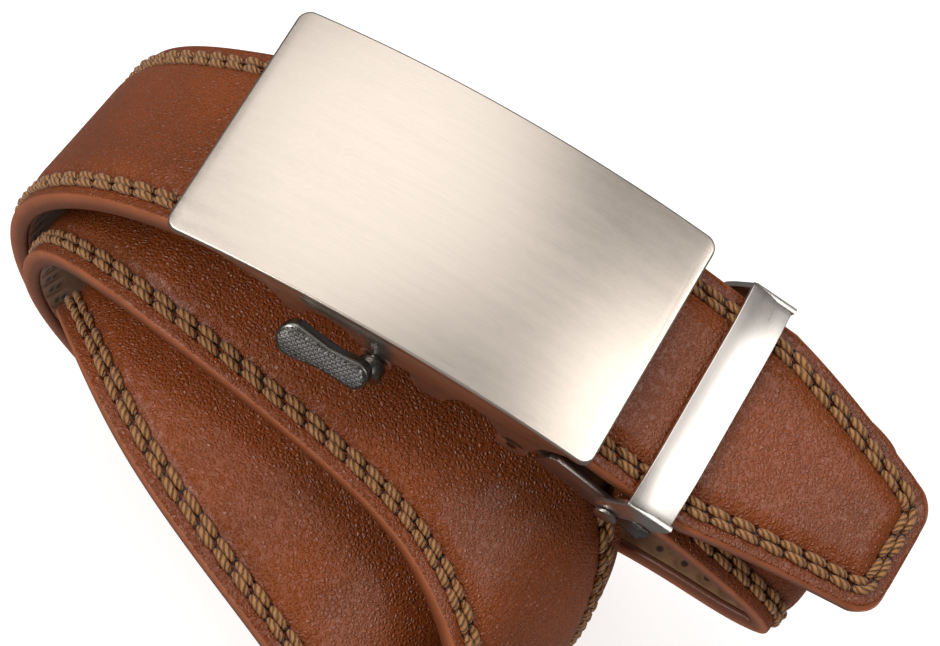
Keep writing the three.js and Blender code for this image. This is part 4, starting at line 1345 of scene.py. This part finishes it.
def build_stage():
    stage = settings().stage
    bm = bmesh.new()
    bmesh.ops.create_grid(bm, x_segments=1, y_segments=1, size=3)
    mesh = bpy.data.meshes.new("floor")
    bm.to_mesh(mesh)
    bm.free()
    floor = bpy.data.objects.new("floor", mesh)
    floor.visible_glossy = False
    bpy.context.scene.collection.objects.link(floor)
    material, tree, shader = new_material(
        "pale_floor", Roughness=0.9, Emission_Strength=stage.floor_glow
    )
    shader.inputs["Base Color"].default_value = (*stage.floor_colour, 1)
    place = add_node(tree, "TexCoord").outputs["Object"]
    away = add_node(tree, "VectorMath", {"operation": "LENGTH"})
    tree.links.new(place, away.inputs[0])
    near = without(tree, fade(tree, away.outputs["Value"], GLOW_NEAR, GLOW_FAR))
    glow = mix_colour(tree, near, (0, 0, 0, 1), (1, 1, 1, 1))
    tree.links.new(glow, shader.inputs["Emission Color"])
    mesh.materials.append(material)
    build_camera()
    for box in SOFTBOXES:
        add_softbox(box, stage.light)
    world = bpy.data.worlds.new("studio")
    world.use_nodes = True
    background = world.node_tree.nodes["Background"]
    background.inputs["Color"].default_value = (1, 0.97, 0.94, 1)
    background.inputs["Strength"].default_value = stage.ambient
    bpy.context.scene.world = world
    bpy.context.scene.view_settings.view_transform = "Standard"


# Settings, operators and panel


class StrapSettings(bpy.types.PropertyGroup):
    """Sizes and colours of the strap."""

    leather_colour: bpy.props.FloatVectorProperty(
        name="Leather", description="Colour of the outer leather", subtype="COLOR", size=3,
        min=0, max=1, default=(0.33, 0.076, 0.014),
    )
    edge_colour: bpy.props.FloatVectorProperty(
        name="Edge paint", description="Colour of the painted edge", subtype="COLOR", size=3,
        min=0, max=1, default=(0.46, 0.125, 0.04),
    )
    lining_colour: bpy.props.FloatVectorProperty(
        name="Lining", description="Colour of the lining", subtype="COLOR", size=3,
        min=0, max=1, default=(0.40, 0.21, 0.105),
    )
    thread_colour: bpy.props.FloatVectorProperty(
        name="Thread", description="Colour of the thread", subtype="COLOR", size=3,
        min=0, max=1, default=(0.62, 0.28, 0.095),
    )
    stitch_pitch: bpy.props.FloatProperty(
        name="Stitch pitch", description="Length of one stitch", subtype="DISTANCE",
        unit="LENGTH", min=0.002, max=0.01, precision=4, default=0.00415,
    )
    thread_diameter: bpy.props.FloatProperty(
        name="Thread", description="Diameter of the thread", subtype="DISTANCE",
        unit="LENGTH", min=0.0003, max=0.002, precision=5, default=0.00135,
    )


class BuckleSettings(bpy.types.PropertyGroup):
    """Sizes and colours of the buckle."""

    plate_colour: bpy.props.FloatVectorProperty(
        name="Plate", description="Colour of the brushed plate and its walls", subtype="COLOR",
        size=3, min=0, max=1, default=(0.77, 0.675, 0.585),
    )
    keeper_colour: bpy.props.FloatVectorProperty(
        name="Keeper", description="Colour of the keeper", subtype="COLOR", size=3,
        min=0, max=1, default=(0.88, 0.82, 0.755),
    )
    clip_colour: bpy.props.FloatVectorProperty(
        name="Clip", description="Colour of the clip and pins", subtype="COLOR", size=3,
        min=0, max=1, default=(0.55, 0.5, 0.46),
    )
    lever_colour: bpy.props.FloatVectorProperty(
        name="Lever", description="Colour of the release lever", subtype="COLOR", size=3,
        min=0, max=1, default=(0.22, 0.21, 0.2),
    )
    edge_rounding: bpy.props.FloatProperty(
        name="Edge rounding", description="Rounding of the plate's edges", subtype="DISTANCE",
        unit="LENGTH", min=0, max=0.0006, precision=5, default=0.00035,
    )
    knurl_pitch: bpy.props.FloatProperty(
        name="Knurl pitch", description="Spacing of the knurl's diamonds", subtype="DISTANCE",
        unit="LENGTH", min=0.0003, max=0.003, precision=5, default=0.00095,
    )


class StageSettings(bpy.types.PropertyGroup):
    """Floor and light."""

    floor_colour: bpy.props.FloatVectorProperty(
        name="Floor", description="Colour of the floor", subtype="COLOR", size=3,
        min=0, max=1, default=(0.9, 0.9, 0.9),
    )
    floor_glow: bpy.props.FloatProperty(
        name="Floor glow", description="Light that the floor gives", min=0, max=2, default=0.6,
    )
    light: bpy.props.FloatProperty(
        name="Light", description="Strength of the soft lights", min=0, max=10, default=1.0,
    )
    ambient: bpy.props.FloatProperty(
        name="Ambient", description="Strength of the light all round", min=0, max=5, default=0.12,
    )


class BeltSettings(bpy.types.PropertyGroup):
    """All settings of the belt."""

    strap: bpy.props.PointerProperty(type=StrapSettings)
    buckle: bpy.props.PointerProperty(type=BuckleSettings)
    stage: bpy.props.PointerProperty(type=StageSettings)


class BELT_OT_strap_leather(bpy.types.Operator):
    """Make the padded outer leather with its painted edge"""

    bl_idname = "belt.strap_leather"
    bl_label = "Strap leather"

    def execute(self, context):
        build_strap_leather()
        return {"FINISHED"}


class BELT_OT_strap_lining(bpy.types.Operator):
    """Make the lining with its rows of needle holes"""

    bl_idname = "belt.strap_lining"
    bl_label = "Strap lining"

    def execute(self, context):
        build_strap_lining()
        return {"FINISHED"}


class BELT_OT_stitches(bpy.types.Operator):
    """Make the two rows of stitches"""

    bl_idname = "belt.stitches"
    bl_label = "Stitches"

    def execute(self, context):
        build_stitches()
        return {"FINISHED"}


class BELT_OT_ratchet_track(bpy.types.Operator):
    """Make the toothed track"""

    bl_idname = "belt.ratchet_track"
    bl_label = "Ratchet track"

    def execute(self, context):
        build_ratchet_track()
        return {"FINISHED"}


class BELT_OT_buckle_frame(bpy.types.Operator):
    """Make the brushed face plate and its side walls"""

    bl_idname = "belt.buckle_frame"
    bl_label = "Buckle frame"

    def execute(self, context):
        build_buckle_frame()
        return {"FINISHED"}


class BELT_OT_release_lever(bpy.types.Operator):
    """Make the release lever with its knurled tab"""

    bl_idname = "belt.release_lever"
    bl_label = "Release lever"

    def execute(self, context):
        build_release_lever()
        return {"FINISHED"}


class BELT_OT_keeper(bpy.types.Operator):
    """Make the keeper's bar and arms"""

    bl_idname = "belt.keeper"
    bl_label = "Keeper"

    def execute(self, context):
        build_keeper()
        return {"FINISHED"}


class BELT_OT_small_parts(bpy.types.Operator):
    """Make the clip, its jaw, the hinge pin and the rivets"""

    bl_idname = "belt.small_parts"
    bl_label = "Clip and pins"

    def execute(self, context):
        build_small_parts()
        return {"FINISHED"}


class BELT_OT_stage(bpy.types.Operator):
    """Make the floor, the lights and the camera"""

    bl_idname = "belt.stage"
    bl_label = "Stage"

    def execute(self, context):
        build_stage()
        return {"FINISHED"}


OPERATORS = (
    BELT_OT_stage,
    BELT_OT_strap_leather,
    BELT_OT_strap_lining,
    BELT_OT_stitches,
    BELT_OT_ratchet_track,
    BELT_OT_buckle_frame,
    BELT_OT_release_lever,
    BELT_OT_keeper,
    BELT_OT_small_parts,
)


class BELT_PT_belt(bpy.types.Panel):
    """Lists the belt's pieces and settings"""

    bl_idname = "BELT_PT_belt"
    bl_label = "Ratchet belt"
    bl_space_type = "VIEW_3D"
    bl_region_type = "UI"
    bl_category = "Belt"

    def draw(self, context):
        belt = context.scene.belt
        for group in (belt.strap, belt.buckle, belt.stage):
            box = self.layout.box()
            for name in group.__annotations__:
                box.prop(group, name)
        for operator in OPERATORS:
            self.layout.operator(operator.bl_idname)


CLASSES = (
    StrapSettings,
    BuckleSettings,
    StageSettings,
    BeltSettings,
    *OPERATORS,
    BELT_PT_belt,
)


def register():
    for made in CLASSES:
        bpy.utils.register_class(made)
    bpy.types.Scene.belt = bpy.props.PointerProperty(type=BeltSettings)


def unregister():
    del bpy.types.Scene.belt
    for made in reversed(CLASSES):
        bpy.utils.unregister_class(made)


def main():
    register()
    bpy.ops.belt.stage()
    bpy.ops.belt.strap_leather()
    bpy.ops.belt.strap_lining()
    bpy.ops.belt.stitches()
    bpy.ops.belt.ratchet_track()
    bpy.ops.belt.buckle_frame()
    bpy.ops.belt.release_lever()
    bpy.ops.belt.keeper()
    bpy.ops.belt.small_parts()


if __name__ == "__main__":
    main()
